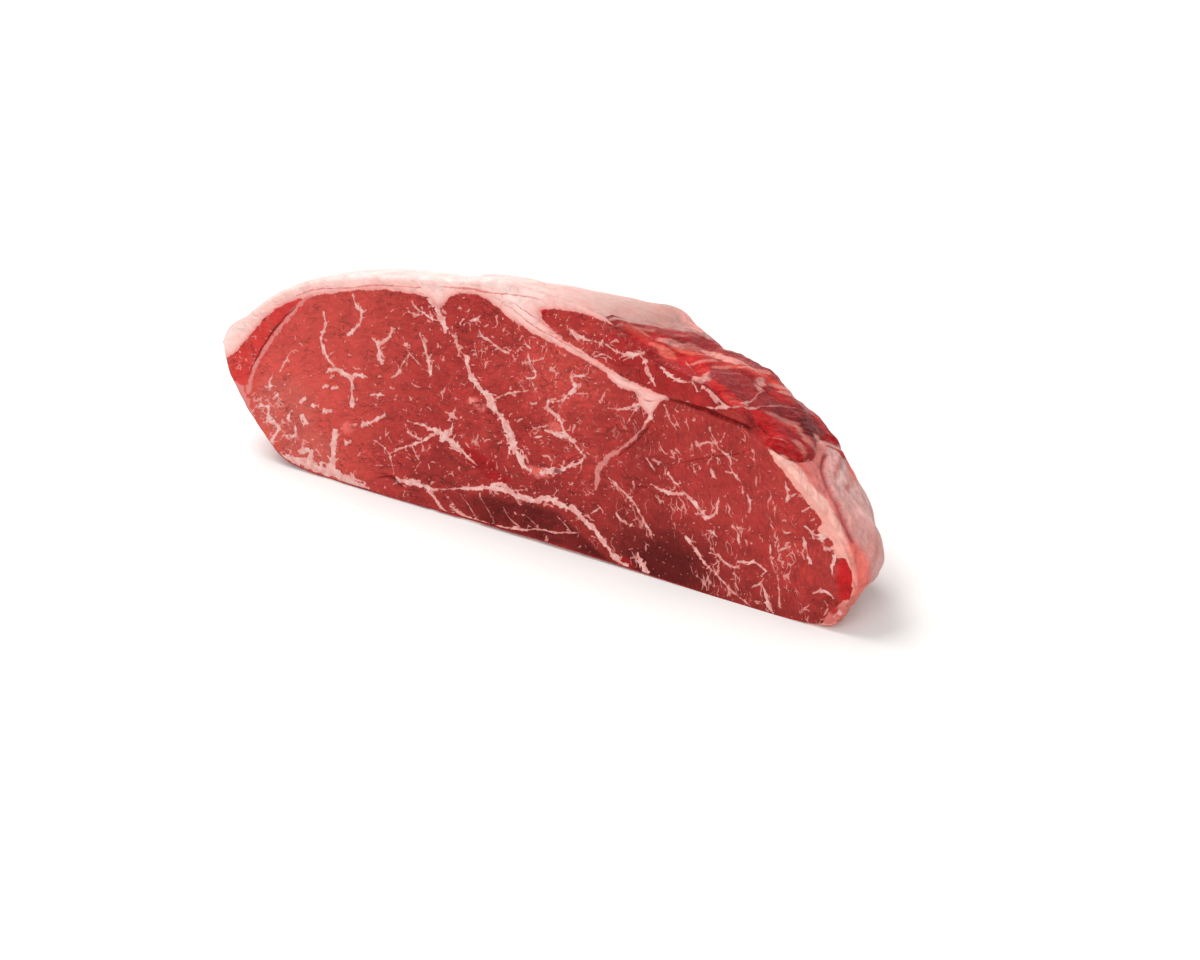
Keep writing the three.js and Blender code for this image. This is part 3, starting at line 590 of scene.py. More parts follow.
# Grooves in the skin and folds that stand out of it, listed like the creases.
# Grooves are painted dark like the creases: painted shade in them.
GROOVES = [
    ([0.4, 1.1, 1.3, 1.4, 1.3, 1.0, 0.4], 1.6, GROOVE),
    ([0.3, 0.8, 1.0, 0.8, 0.3], 1.0, [
        (200.5, 0.4), (203.8, 1.2), (206.6, 5.4), (208.4, 10), (209, 14)]),
    ([0.3, 0.8, 0.4], 0.8, [(188, 2), (194, 3.4), (200, 3)]),
    ([0.3, 0.7, 0.3], 0.7, [(171, 18), (178, 19), (186, 20.5)]),
]
FOLDS = [
    ([1.6, 2.2, 2.2, 1.4], 0.9, [(206, 24), (209, 27.5), (212.5, 27), (213, 23.5), (216, 20)]),
    ([1.2, 2.0, 1.8, 1.0], 0.8, [(214, 18.5), (217.5, 22), (221, 21), (224.5, 17.5)]),
    ([1.2, 1.8, 1.2], 0.7, [(219, 15), (223, 16.5), (227, 14.5), (230, 11)]),
    ([1.4, 2.2, 1.4], 0.8, [(210, 33), (216, 32), (221, 28), (226, 23)]),
    ([1.0, 2.0, 1.4], 0.7, [(141, 31), (146, 33.5), (150, 31)]),
    ([2.0, 4.0, 3.4, 1.0], 0.7, [(70, 8), (80, 10), (90, 10), (97, 5)]),
]


def line_field(places, lines, reach):
    """For each place the nearest of many lines, by the least distance to it less its half width:
    the signed distance to its side, the distance to it and its half width there, then its number.
    The side's sign keeps a thin line crisp between two points of the mesh. Where no line is within
    the reach, both distances are the reach, the half width is zero and the number is -1."""
    side, far, best = (np.full(len(places), float(reach)) for _ in range(3))
    half, number = np.zeros(len(places)), np.full(len(places), -1)
    for k, (widths, *_, points) in enumerate(lines):
        length = np.linalg.norm(np.diff(np.array(points, float), axis=0), axis=1).sum()
        line = smooth_line(points, max(3, int(length / LINE_STEP)))
        at = np.linspace(0, 1, len(line))
        thick = np.interp(at, np.linspace(0, 1, len(widths)), widths) / 2
        low, high = line.min(axis=0) - reach, line.max(axis=0) + reach
        near = np.flatnonzero(((places > low) & (places < high)).all(axis=1))
        q = places[near][:, None]
        a, ab = line[:-1], np.diff(line, axis=0)
        t = np.clip(((q - a) * ab).sum(axis=2) / (ab**2).sum(axis=1), 0, 1)
        off = q - (a + t[..., None] * ab)
        distance = np.linalg.norm(off, axis=2)
        wide = thick[:-1] * (1 - t) + thick[1:] * t
        pick = (distance - wide).argmin(axis=1)
        each = np.arange(len(near))
        ab, away = ab[pick], (q - a)[each, pick]
        across = (ab[:, 0] * away[:, 1] - ab[:, 1] * away[:, 0]) / np.linalg.norm(ab, axis=1)
        distance, wide = distance[each, pick], wide[each, pick]
        closer = distance - wide < best[near]
        to = near[closer]
        best[to] = (distance - wide)[closer]
        side[to], far[to], half[to] = across[closer], distance[closer], wide[closer]
        number[to] = k
    return side, far, half, number


def height_of(lines, number):
    """The height or depth that is listed for each place's line, and none where no line is near."""
    heights = np.array([height for _, height, _ in lines] + [0.0])
    return heights[np.minimum(number, len(lines))]


def inside(places, outline):
    """Distance in mm from each place to a closed outline, positive inside it: the sign comes from
    counting the outline's edges that a ray along u crosses."""
    nearest = np.full(len(places), np.inf)
    crossings = np.zeros(len(places), int)
    for p, q in zip(outline, np.roll(outline, -1, axis=0)):
        t = np.clip(((places - p) @ (q - p)) / max(((q - p) ** 2).sum(), TINY), 0, 1)
        nearest = np.minimum(nearest, np.linalg.norm(places - (p + t[:, None] * (q - p)), axis=1))
        spans = (p[1] > places[:, 1]) != (q[1] > places[:, 1])
        rise = q[1] - p[1] if abs(q[1] - p[1]) > TINY else TINY
        crossings += spans & (places[:, 0] < p[0] + (places[:, 1] - p[1]) / rise * (q[0] - p[0]))
    return np.where(crossings % 2 == 1, nearest, -nearest)


def swirled(size, seeds):
    """Two unlike swirls of one size, as a step in u and h for every place of the slab."""
    return np.stack([swirl(flat, size, seed) for seed in seeds], axis=1)


# Seams wander a little on their way through the slab, so the back shows them moved.
WANDER = 2.5
wander = WANDER * ramp(w, 4, 30)
cut_place = flat[:, :2] + wander[:, None] * swirled(28, (1, 2))
jitter = swirled(3.5, (3, 4))
ragged = cut_place + 0.35 * jitter
edge_u = np.where(over_skin, top_line[station, 0], base_line[station, 0])
skin_place = np.stack([edge_u, w], axis=1) + 0.5 * jitter

# Depth of fat in mm at each place, negative in the lean: on the cut faces, over the top, and in
# patches under the base.
cut_fat = np.maximum.reduce([
    inside(ragged, np.vstack([smooth_line(seam, steps), outside]))
    for seam, steps, outside in (
        (CAP_SEAM, 200, CAP_OUTSIDE), (END_SEAM, 70, END_OUTSIDE), (CORNER_SEAM, 40, CORNER_OUTSIDE))
])
past_cap = np.interp(w, *zip(*CAP_END)) - skin_place[:, 0] - 1.4 * swirl(flat, 6, 13)
past_end = skin_place[:, 0] - np.interp(skin_place[:, 1], *zip(*END_START)) + swirl(flat, 5, 16)
under_fat = (
    3.0 * swirl(flat, 13, 14) - 0.6 + 3 * ramp(edge_u, 224, 232) + 3 * (1 - ramp(edge_u, -38, -28))
)
fat = np.where(over_skin, np.maximum(past_cap, past_end), np.where(under_skin, under_fat, cut_fat))


def lines_of(cut_lines, skin_lines):
    """Side distance, distance and half width, then the number, of the nearest line: of the first
    list on the cut faces and of the second, over (edge u, depth), on the skin over the top."""
    none = (LINE_REACH, LINE_REACH, 0.0, -1)
    on_cut = line_field(ragged, cut_lines, LINE_REACH)
    on_skin = line_field(skin_place, skin_lines, LINE_REACH)
    *distances, number = (
        np.where(over_skin, b, np.where(under_skin, c, a)) for a, b, c in zip(on_cut, on_skin, none))
    return np.stack(distances, axis=1), number.astype(int)


ANGULAR = VEINS + FLECKS
vein, vein_number = lines_of(ANGULAR + BANDS, SKIN_STRANDS_AND_GLINTS)
angular = (vein_number < len(ANGULAR)) * cut
film, _ = lines_of(MEMBRANES, [])
crease, crease_number = lines_of(CREASES, GROOVES)
crease_depth = np.where(
    over_skin, height_of(GROOVES, crease_number), height_of(CREASES, crease_number))
_, fold_far, fold_half, fold_number = line_field(skin_place, FOLDS, LINE_REACH)
fold_height = height_of(FOLDS, fold_number)
fold_mask = over_skin * ramp(fold_half - fold_far, -1.0, 0.8)


# ---------------------------------------------------------------- tints of the meat
def tint(red, green, blue):
    """A colour given in screen values from 0 to 255, as linear values."""
    c = np.array([red, green, blue]) / 255
    return np.where(c < 0.04045, c / 12.92, ((c + 0.055) / 1.055) ** 2.4)


def shades(x, stops):
    """Colours along x, in straight lines between stops of (x, tint)."""
    at, tints = zip(*stops)
    return np.stack([np.interp(x, at, channel) for channel in np.array(tints).T], axis=1)


def spots(places, ellipses):
    """How far inside any of some soft ellipses (middle, half widths) each place lies: one in the
    core, and none from 1.3 half widths on."""
    share = np.zeros(len(places))
    for a, b, wide, high in ellipses:
        r = np.hypot((places[:, 0] - a) / wide, (places[:, 1] - b) / high)
        share = np.maximum(share, 1 - ramp(r, 0.7, 1.3))
    return share


def painted(paint, coats):
    """The paint under coats of (tint, share), one after another: each blends all that lies below
    it towards its tint by its share from 0 to 1."""
    for colour, share in coats:
        paint = paint + (colour - paint) * share[:, None]
    return paint


def smear_share(share, widths, line):
    """A smear covers its share of the skin within half its width of the line, and soon none."""
    _, far, half, _ = line_field(smear_place, [(widths, line)], SMEAR_REACH)
    return share * over_skin * ramp(half - far, -0.6, 0.35)


# Stains have uneven borders; smears on the torn top end in tufts along its strands.
stain_place = cut_place + 1.2 * swirled(4.5, (20, 21))
strand = np.array([np.cos(np.radians(TOP_STRANDS)), np.sin(np.radians(TOP_STRANDS))])
along_strand = edge_u * strand[0] + w * strand[1]
across_strand = w * strand[0] - edge_u * strand[1]
tufts = swirl(np.stack([0.15 * along_strand, across_strand, 0 * w], axis=1), 2.0, 19)
tufts *= 1 - ramp(edge_u, 200, 206)
smear_place = skin_place + 1.8 * tufts[:, None] * strand

# The lean's tone from 0, pale, to 1, dark: a base, plus the muscle below the low seam, the foot and the low
# right end, less the left and the upper right end, then slow swirls and round patches. The darker foot
# and low right end are partly darker muscle and partly painted shade along the bottom; the paler left is
# partly painted light from the window side.
LOW_SEAM_U, LOW_SEAM_H = [60, 90, 120, 150], [6, 13, 15, 0]
DARK_PATCHES = [  # amount, middle and width in u, middle and width in h
    (-0.28, 112, 20, 62, 14), (0.15, 62, 30, 15, 14), (0.14, 120, 30, 20, 10),
    (0.15, 152, 11, 40, 14),
]
over_low_seam = ramp(h - np.interp(u, LOW_SEAM_U, LOW_SEAM_H), -3, 0.5)
below_seam = (1 - over_low_seam) * span(u, 55, 75, 140, 152)
# Paler on the left: partly the muscle's tone, partly painted light from the window side.
left_light_and_tone = (0.44 - 0.1 * ramp(h, 30, 56)) * (1 - ramp(u, 0, 70))
# Darker at the foot and the low right end: partly darker muscle, partly painted shade along the bottom.
foot_shade_and_tone = 0.6 * bell(u, 166, 26) * (1 - ramp(h, 4, 32))
low_end_shade_and_tone = 0.18 * ramp(u, 190, 215) * (1 - ramp(h, 0, 18))
pale_end = 0.08 * ramp(u, 180, 215) * ramp(h, 12, 30)
low_muscle = 0.38 * below_seam * ramp(u, 60, 98)
tone = 0.45 + low_muscle + foot_shade_and_tone + low_end_shade_and_tone - left_light_and_tone - pale_end
tone += 0.07 * (swirl(flat, 22, 5) + swirl(flat, 9, 6))
for amount, at_u, wide, at_h, high in DARK_PATCHES:
    tone += amount * bell(u, at_u, wide) * bell(h, at_h, high)

BLOOD, DEEP, ROSE = tint(186, 14, 16), tint(156, 14, 18), tint(220, 104, 96)
STRIP_RED, DARK_RED, PALE_RED = tint(200, 50, 47), tint(184, 24, 28), tint(190, 92, 82)
STAINS = [  # tint, share, ellipses on the cut face
    (DEEP, 0.75, [(86, 23.5, 7, 2.6), (80, 25.5, 5, 2), (93, 20, 6, 2), (152, 2.2, 3, 1.6)]),
    (DARK_RED, 0.95, [(235.6, 23, 2.2, 4), (237, 18.6, 3.4, 5), (238.2, 14.6, 2.8, 2.8)]),
    (STRIP_RED, 0.8, [(-30, 35, 5, 9), (-23, 47, 5, 9), (-15, 58, 5, 6), (-9, 63.5, 5, 3)]),
    (BLOOD, 0.9, [(152.5, 79, 3, 2), (101, 84.5, 3, 2)]),
    (PALE_RED, 0.6, [(-6, 22, 15, 13), (8, 10, 14, 8)]),
    (DEEP, 0.2, [(116, 82, 14, 4)]),
    (DEEP, 0.5, [(136, 77, 13, 6), (154, 71, 12, 5), (172, 68, 12, 3.4)]),
    (ROSE, 0.8, [(25, 22, 2.6, 2.2), (114, 43.6, 3, 2.2), (80, 44.6, 4, 1.8), (110, 26, 5, 1.6)]),
]
lean_tint = painted(
    shades(tone, [(0.0, tint(204, 78, 70)), (0.45, tint(166, 50, 46)), (1.0, tint(92, 16, 13))]),
    [(colour, share * front_face * spots(stain_place, ellipses)) for colour, share, ellipses in STAINS],
)
skin_tint = shades(swirl(flat * [0.5, 1, 1], 7, 15), [
    (-0.5, tint(132, 22, 26)), (0.5, tint(178, 34, 34))])
streaky = np.where(over_skin, 0.3 + 0.5 * ramp(past_cap, -7, -1), 0.7 * under_skin)

# Small flecks are sparse in the left muscle, in the seam muscle's core, under the low seam and
# beside the end's fat, and dense along the slab's left edge.
FLECK_SPOTS = [  # more or fewer flecks, ellipses on the cut faces
    (1.1, [(-29, 38, 6, 12), (-20, 51, 4, 8)]),
    (2.2, [(-14, 19, 9, 10), (2, 9, 14, 6)]),
    (0.5, [(86, 70, 26, 10), (126, 79, 18, 7)]),
    (-0.9, [(156, 71, 16, 6), (178, 66, 12, 5)]),
    (-0.9, [(235, 19, 6, 9), (226, 20, 5, 14)]),
]
flecky = 0.35 + 0.65 * ramp(u, 20, 90) - 0.7 * below_seam - 0.35 * bell(u, 168, 16) * bell(h, 8, 12)
for amount, ellipses in FLECK_SPOTS:
    flecky += amount * spots(cut_place, ellipses)

# Fat on the cut faces, pinker at the right end and bloody in its low corner.
end_fat = ramp(cut_place[:, 0], 195, 200)
low_corner = end_fat * (1 - ramp(h, 9, 15))
fat_tint = painted(
    shades(cut_fat, [
        (0.3, tint(234, 160, 152)), (1.6, tint(242, 190, 182)), (4.0, tint(246, 206, 199)),
        (7.0, tint(247, 216, 210))]),
    [
        (tint(238, 168, 154), 0.85 * end_fat),
        (tint(206, 100, 92), 0.85 * low_corner),
        (tint(190, 30, 34), 0.85 * low_corner * ramp(swirl(flat, 4, 22), 0.05, 0.3)),
        (tint(226, 172, 164), low_corner * ramp(swirl(flat, 3, 23), 0.2, 0.45)),
    ],
)

# Fat on the skin: the end with its strip, lobe and folds, and the cap. The folds are painted paler, a
# painted highlight on their ridges, and the strip paler still than its fat, partly painted light on the
# end.
# Then the smears go over the skin's lean and its fat alike.
strip = ramp(np.interp(edge_u, *zip(*STRIP_BORDER)) - w, -0.4, 0.5)
lobe = ramp(w - np.interp(edge_u, *zip(*GROOVE)), -0.5, 1.5)
end_tint = painted(np.tile(tint(214, 118, 112), (len(u), 1)), [
    (tint(210, 154, 148), lobe),
    # Painted highlight: the raised folds of the end's lobe are painted paler.
    (tint(236, 196, 190), 0.6 * fold_mask),
    (tint(226, 112, 101), ramp(edge_u, 231, 236) * (1 - ramp(w - 0.5 * (edge_u - 234), 1.5, 5))),
    # The strip's pale fat, painted brighter still: partly painted light on the end's side.
    (tint(246, 188, 174), strip * (1 - 0.6 * ramp(edge_u, 230, 236))),
])
CAP_BLUSH = (143, 33, 7, 6)  # at the back of the cap's end
cap_tint = shades(edge_u, [
    (-40, tint(234, 186, 180)), (-10, tint(240, 208, 202)), (30, tint(238, 210, 204)),
    (75, tint(236, 214, 208)), (104, tint(230, 188, 179)), (126, tint(206, 160, 151)),
    (142, tint(196, 146, 138)),
])
skin_fat_tint = painted(cap_tint, [
    (tint(230, 160, 152), spots(skin_place, [CAP_BLUSH])),
    (end_tint, ramp(edge_u, 175, 180)),
])
skin_paints = painted(np.hstack([skin_tint, skin_fat_tint]), [
    (np.tile(tint(*colour), 2), smear_share(*smear)) for colour, *smear in SMEARS
])
is_skin = skin[:, None] > 0.5
lean_tint = np.where(is_skin, skin_paints[:, :3], lean_tint)
fat_tint = np.where(is_skin, skin_paints[:, 3:], fat_tint)

torn = over_skin * ramp(edge_u, 138, 150) * (1 - ramp(past_end, -1.5, 0.5)) * ramp(h, 40, 50)
wet = np.maximum(torn, 0.5 * over_skin * ramp(edge_u, 200, 206))

# ---------------------------------------------------------------- relief
room = place(u, h, w).reshape(STATIONS + 1, ring_size, 3)
along = np.gradient(room, axis=0)
around = np.roll(room, -1, axis=1) - np.roll(room, 1, axis=1)
normal = np.cross(along, around)
normal /= np.maximum(np.linalg.norm(normal, axis=2, keepdims=True), TINY)

# Relief in mm: lumps of several sizes, more of them where the muscle is torn, with the veins and
# fat a little proud, creases and grooves cut in, folds, lip, knob and lobe raised.
KNOB = (25, 22, 2.8, 2.4)  # of gristle on the cut face
vein_mask = ramp(vein[:, 2] - vein[:, 1], -0.5, 0.3)
crease_mask = ramp(crease[:, 2] - crease[:, 1], -0.6, 0.4)
lip = over_skin * ramp(edge_u, 188, 198) * (1 - ramp(past_end, -1.4, -0.2)) * ramp(w, 0.3, 2)
raised_lobe = over_skin * lobe * ramp(edge_u, 207, 211) * (1 - ramp(w, 30, 36))
relief = (
    0.05 * swirl(flat, 2.2, 7) + 0.13 * swirl(flat, 5.5, 8)
    + skin * (0.25 * swirl(flat, 8, 9) + 0.30 * swirl(flat, 16, 10))
    + torn * (0.35 * swirl(flat * [1, 1, 0.4], 3.6, 11) + 0.18 * swirl(flat, 2.0, 12))
    + (0.14 * cut + 0.3 * skin) * vein_mask - crease_depth * crease_mask
    + 0.25 * cut * ramp(fat, -0.4, 0.6) - 0.6 * below_seam * cut
    + fold_height * fold_mask + 0.9 * lip + 0.7 * raised_lobe
    + 1.1 * front_face * spots(cut_place, [KNOB])
)
# The low right corner is frayed, and no relief reaches the tips or what the roast stands on.
corner = ramp(u, 222, 232) * (1 - ramp(h, 9, 17)) * (1 - ramp(w, 10, 20))
relief -= corner * (0.2 + 1.6 * abs(swirl(flat, 3.2, 17)) + 0.9 * abs(swirl(flat, 1.7, 18)))
tips = np.clip(np.minimum(station, STATIONS - station) / TIP_STATIONS, 0, 1)
standing = ramp(room.reshape(-1, 3)[:, 2], 0.2, 3.0)
relief *= tips * standing
points = room.reshape(-1, 3) + normal.reshape(-1, 3) * relief[:, None]
points = (points - MIDDLE) * MM
points = np.clip(points, np.array(cad_box[0]), np.array(cad_box[1]))


# ---------------------------------------------------------------- the mesh
def closed_skin(name, points, attributes):
    """A mesh of the rings: a quad between each pair of neighbouring points on neighbouring rings.
    At each tip the ring closes up like a purse, so its points there are shared in pairs and the
    faces that lose a corner become triangles."""
    index = np.arange(len(points)).reshape(STATIONS + 1, ring_size)
    for end in (0, STATIONS):
        index[end, OVER_END:BACK_END] = index[end, OVER_END - 1]
        to_over = np.linspace(OVER_ROWS, 0, UNDER_ROWS + 1).round().astype(int)
        index[end, BACK_END:UNDER_END] = index[end, to_over]
        index[end, UNDER_END:] = index[end, 0]
    a, b = index[:-1], index[1:]
    quads = np.stack([a, b, np.roll(b, -1, 1), np.roll(a, -1, 1)], axis=-1).reshape(-1, 4)
    corners = 1 + np.count_nonzero(np.diff(np.sort(quads, axis=1), axis=1), axis=1)
    quads, corners = quads[corners > 2], corners[corners > 2]
    used, quads = np.unique(quads, return_inverse=True)
    quads = quads.reshape(-1, 4)
    faces = quads[corners == 4].tolist()
    faces += [list(dict.fromkeys(face)) for face in quads[corners == 3].tolist()]
    mesh = bpy.data.meshes.new(name)
    mesh.from_pydata(points[used], [], faces)
    mesh.polygons.foreach_set("use_smooth", np.ones(len(mesh.polygons), bool))
    for key, values in attributes.items():
        values = np.asarray(values, np.float32)[used]
        kind, field = ("FLOAT_VECTOR", "vector") if values.ndim == 2 else ("FLOAT", "value")
        mesh.attributes.new(key, kind, "POINT").data.foreach_set(field, values.ravel())
    mesh.update()
    piece = bpy.data.objects.new(name, mesh)
    bpy.context.scene.collection.objects.link(piece)
    return piece


roast = closed_skin("roast", points, {
    "slab_mm": np.stack([u, h + BACK_SHIFT * back_face, w], axis=1),
    "skin_mm": np.stack([edge_u, w, UNDER_SHIFT * under_skin], axis=1),
    "cut": cut,
    "fat": fat,
    "vein": vein,
    "film": film,
    "crease": crease,
    "lean_tint": lean_tint,
    "flecky": flecky,
    "fat_tint": fat_tint,
    "streaky": streaky,
    "angular": angular,
    "wet": wet,
})


# ---------------------------------------------------------------- materials
class Finish:
    """A material of shader nodes: each method adds a node or a few and gives their output."""

    def __init__(self, name):
        self.material = bpy.data.materials.new(name)
        self.material.use_nodes = True
        self.tree = self.material.node_tree
        self.tree.nodes.clear()

    def made(self, kind, inputs=(), **settings):
        """A node whose inputs are linked to outputs or set to values."""
        made = self.tree.nodes.new(kind)
        for key, value in settings.items():
            setattr(made, key, value)
        for key, value in dict(inputs).items():
            if isinstance(value, bpy.types.NodeSocket):
                self.tree.links.new(value, made.inputs[key])
            else:
                made.inputs[key].default_value = value
        return made

    def node(self, kind, inputs=(), output=0, **settings):
        """One output of a node."""
        return self.made(kind, inputs, **settings).outputs[output]

    def math(self, operation, a, b=0.0, c=0.0, clamp=False):
        """A number worked out from up to three."""
        return self.node(
            "ShaderNodeMath", {0: a, 1: b, 2: c}, operation=operation, use_clamp=clamp)

    def less(self, a, b):
        """Number a less number b."""
        return self.math("SUBTRACT", a, b)

    def times(self, first, *others):
        """The product of numbers."""
        for other in others:
            first = self.math("MULTIPLY", first, other)
        return first

    def plus(self, start, *layers):
        """The start plus a times b for each layer (a, b)."""
        for a, b in layers:
            start = self.math("MULTIPLY_ADD", a, b, start)
        return start

    def ramp(self, value, low, high, to_low=0.0, to_high=1.0):
        """A smooth step of the value, which may also fall."""
        return self.node(
            "ShaderNodeMapRange",
            {"Value": value, "From Min": low, "From Max": high, "To Min": to_low,
             "To Max": to_high},
            interpolation_type="SMOOTHSTEP",
        )

    def blend(self, share, a, b):
        """Number a blended towards number b."""
        return self.node("ShaderNodeMix", {0: share, 2: a, 3: b}, 0, data_type="FLOAT")

    def mix(self, share, a, b):
        """Colour a blended towards colour b; either may be a tint."""
        a, b = ((*c, 1.0) if isinstance(c, np.ndarray) else c for c in (a, b))
        return self.node("ShaderNodeMix", {0: share, 6: a, 7: b}, 2, data_type="RGBA")

    def scaled(self, vector, amount):
        """A vector or colour times a number."""
        return self.node("ShaderNodeVectorMath", {0: vector, "Scale": amount}, operation="SCALE")

    def field(self, name, output="Fac"):
        """What the mesh holds under a name at its points."""
        return self.node("ShaderNodeAttribute", output=output, attribute_name=name)

    def parts(self, vector):
        """The three parts of a vector or colour."""
        return self.made("ShaderNodeSeparateXYZ", {0: vector}).outputs

    def noise(self, vector, size, detail=2.0, rough=0.5, output="Fac"):
        """Cloudy noise of a size, from 0 to 1."""
        return self.node("ShaderNodeTexNoise", {
            "Vector": vector, "Scale": 1 / size, "Detail": detail, "Roughness": rough}, output)

    def uneven(self, vector, size, amount, detail=2.0):
        """Noise about zero, mostly within the amount either way."""
        return self.times(self.less(self.noise(vector, size, detail, 0.6), 0.5), 4.0 * amount)

    def shifted(self, vector, by):
        """A vector plus another."""
        return self.node("ShaderNodeVectorMath", {0: vector, 1: by}, operation="ADD")

    def moved(self, vector, size, amount):
        """The vector moved by coloured noise of a size, by up to about the amount each way."""
        by = self.shifted(self.noise(vector, size, 2, 0.5, "Color"), (-0.5, -0.5, -0.5))
        return self.shifted(vector, self.scaled(by, 4.0 * amount))

    def stretched(self, vector, angle, long):
        """Places in which a pattern comes out longer, along a direction turned from u."""
        return self.node("ShaderNodeMapping", {
            "Vector": vector, "Rotation": (0, 0, np.radians(angle)), "Scale": (long, 1, 1)},
            vector_type="TEXTURE")

    def cells(self, vector, size, feature="F1"):
        """Cells round scattered middles, a size apart."""
        return self.made("ShaderNodeTexVoronoi", {"Vector": vector, "Scale": 1 / size},
                         voronoi_dimensions="2D", feature=feature).outputs

    def border(self, vector, size):
        """Distance to the border between two cells of a size."""
        return self.times(self.cells(vector, size, "DISTANCE_TO_EDGE")["Distance"], size)


# Patterns of the meat: sizes in mm, and turns in degrees from the slab's length.
BUNDLE = 4.6
LEFT_FIBRES, RIGHT_FIBRES, RIGHT_STARS_TURN = 8, -60, -66
LEFT_STARS, RIGHT_STARS = (3.4, 1.7, 0.38), (2.0, 1.6, 0.46)  # size, twig, crowd
# Tints of the patterns.
FLECK, MEMBRANE, STREAK, BETWEEN_STREAKS = (
    tint(226, 152, 145), tint(216, 136, 130), tint(208, 104, 96), tint(120, 12, 16))
VEIN_PALE, VEIN_PINK, VEIN_EDGE = tint(232, 188, 182), tint(220, 154, 147), tint(208, 112, 104)
FAT_BLUSH, CREASE_SHADE_AND_BLOOD_IN_LEAN, CREASE_SHADE_AND_BLOOD_IN_FAT = tint(222, 128, 120), tint(112, 10, 13), tint(206, 100, 96)


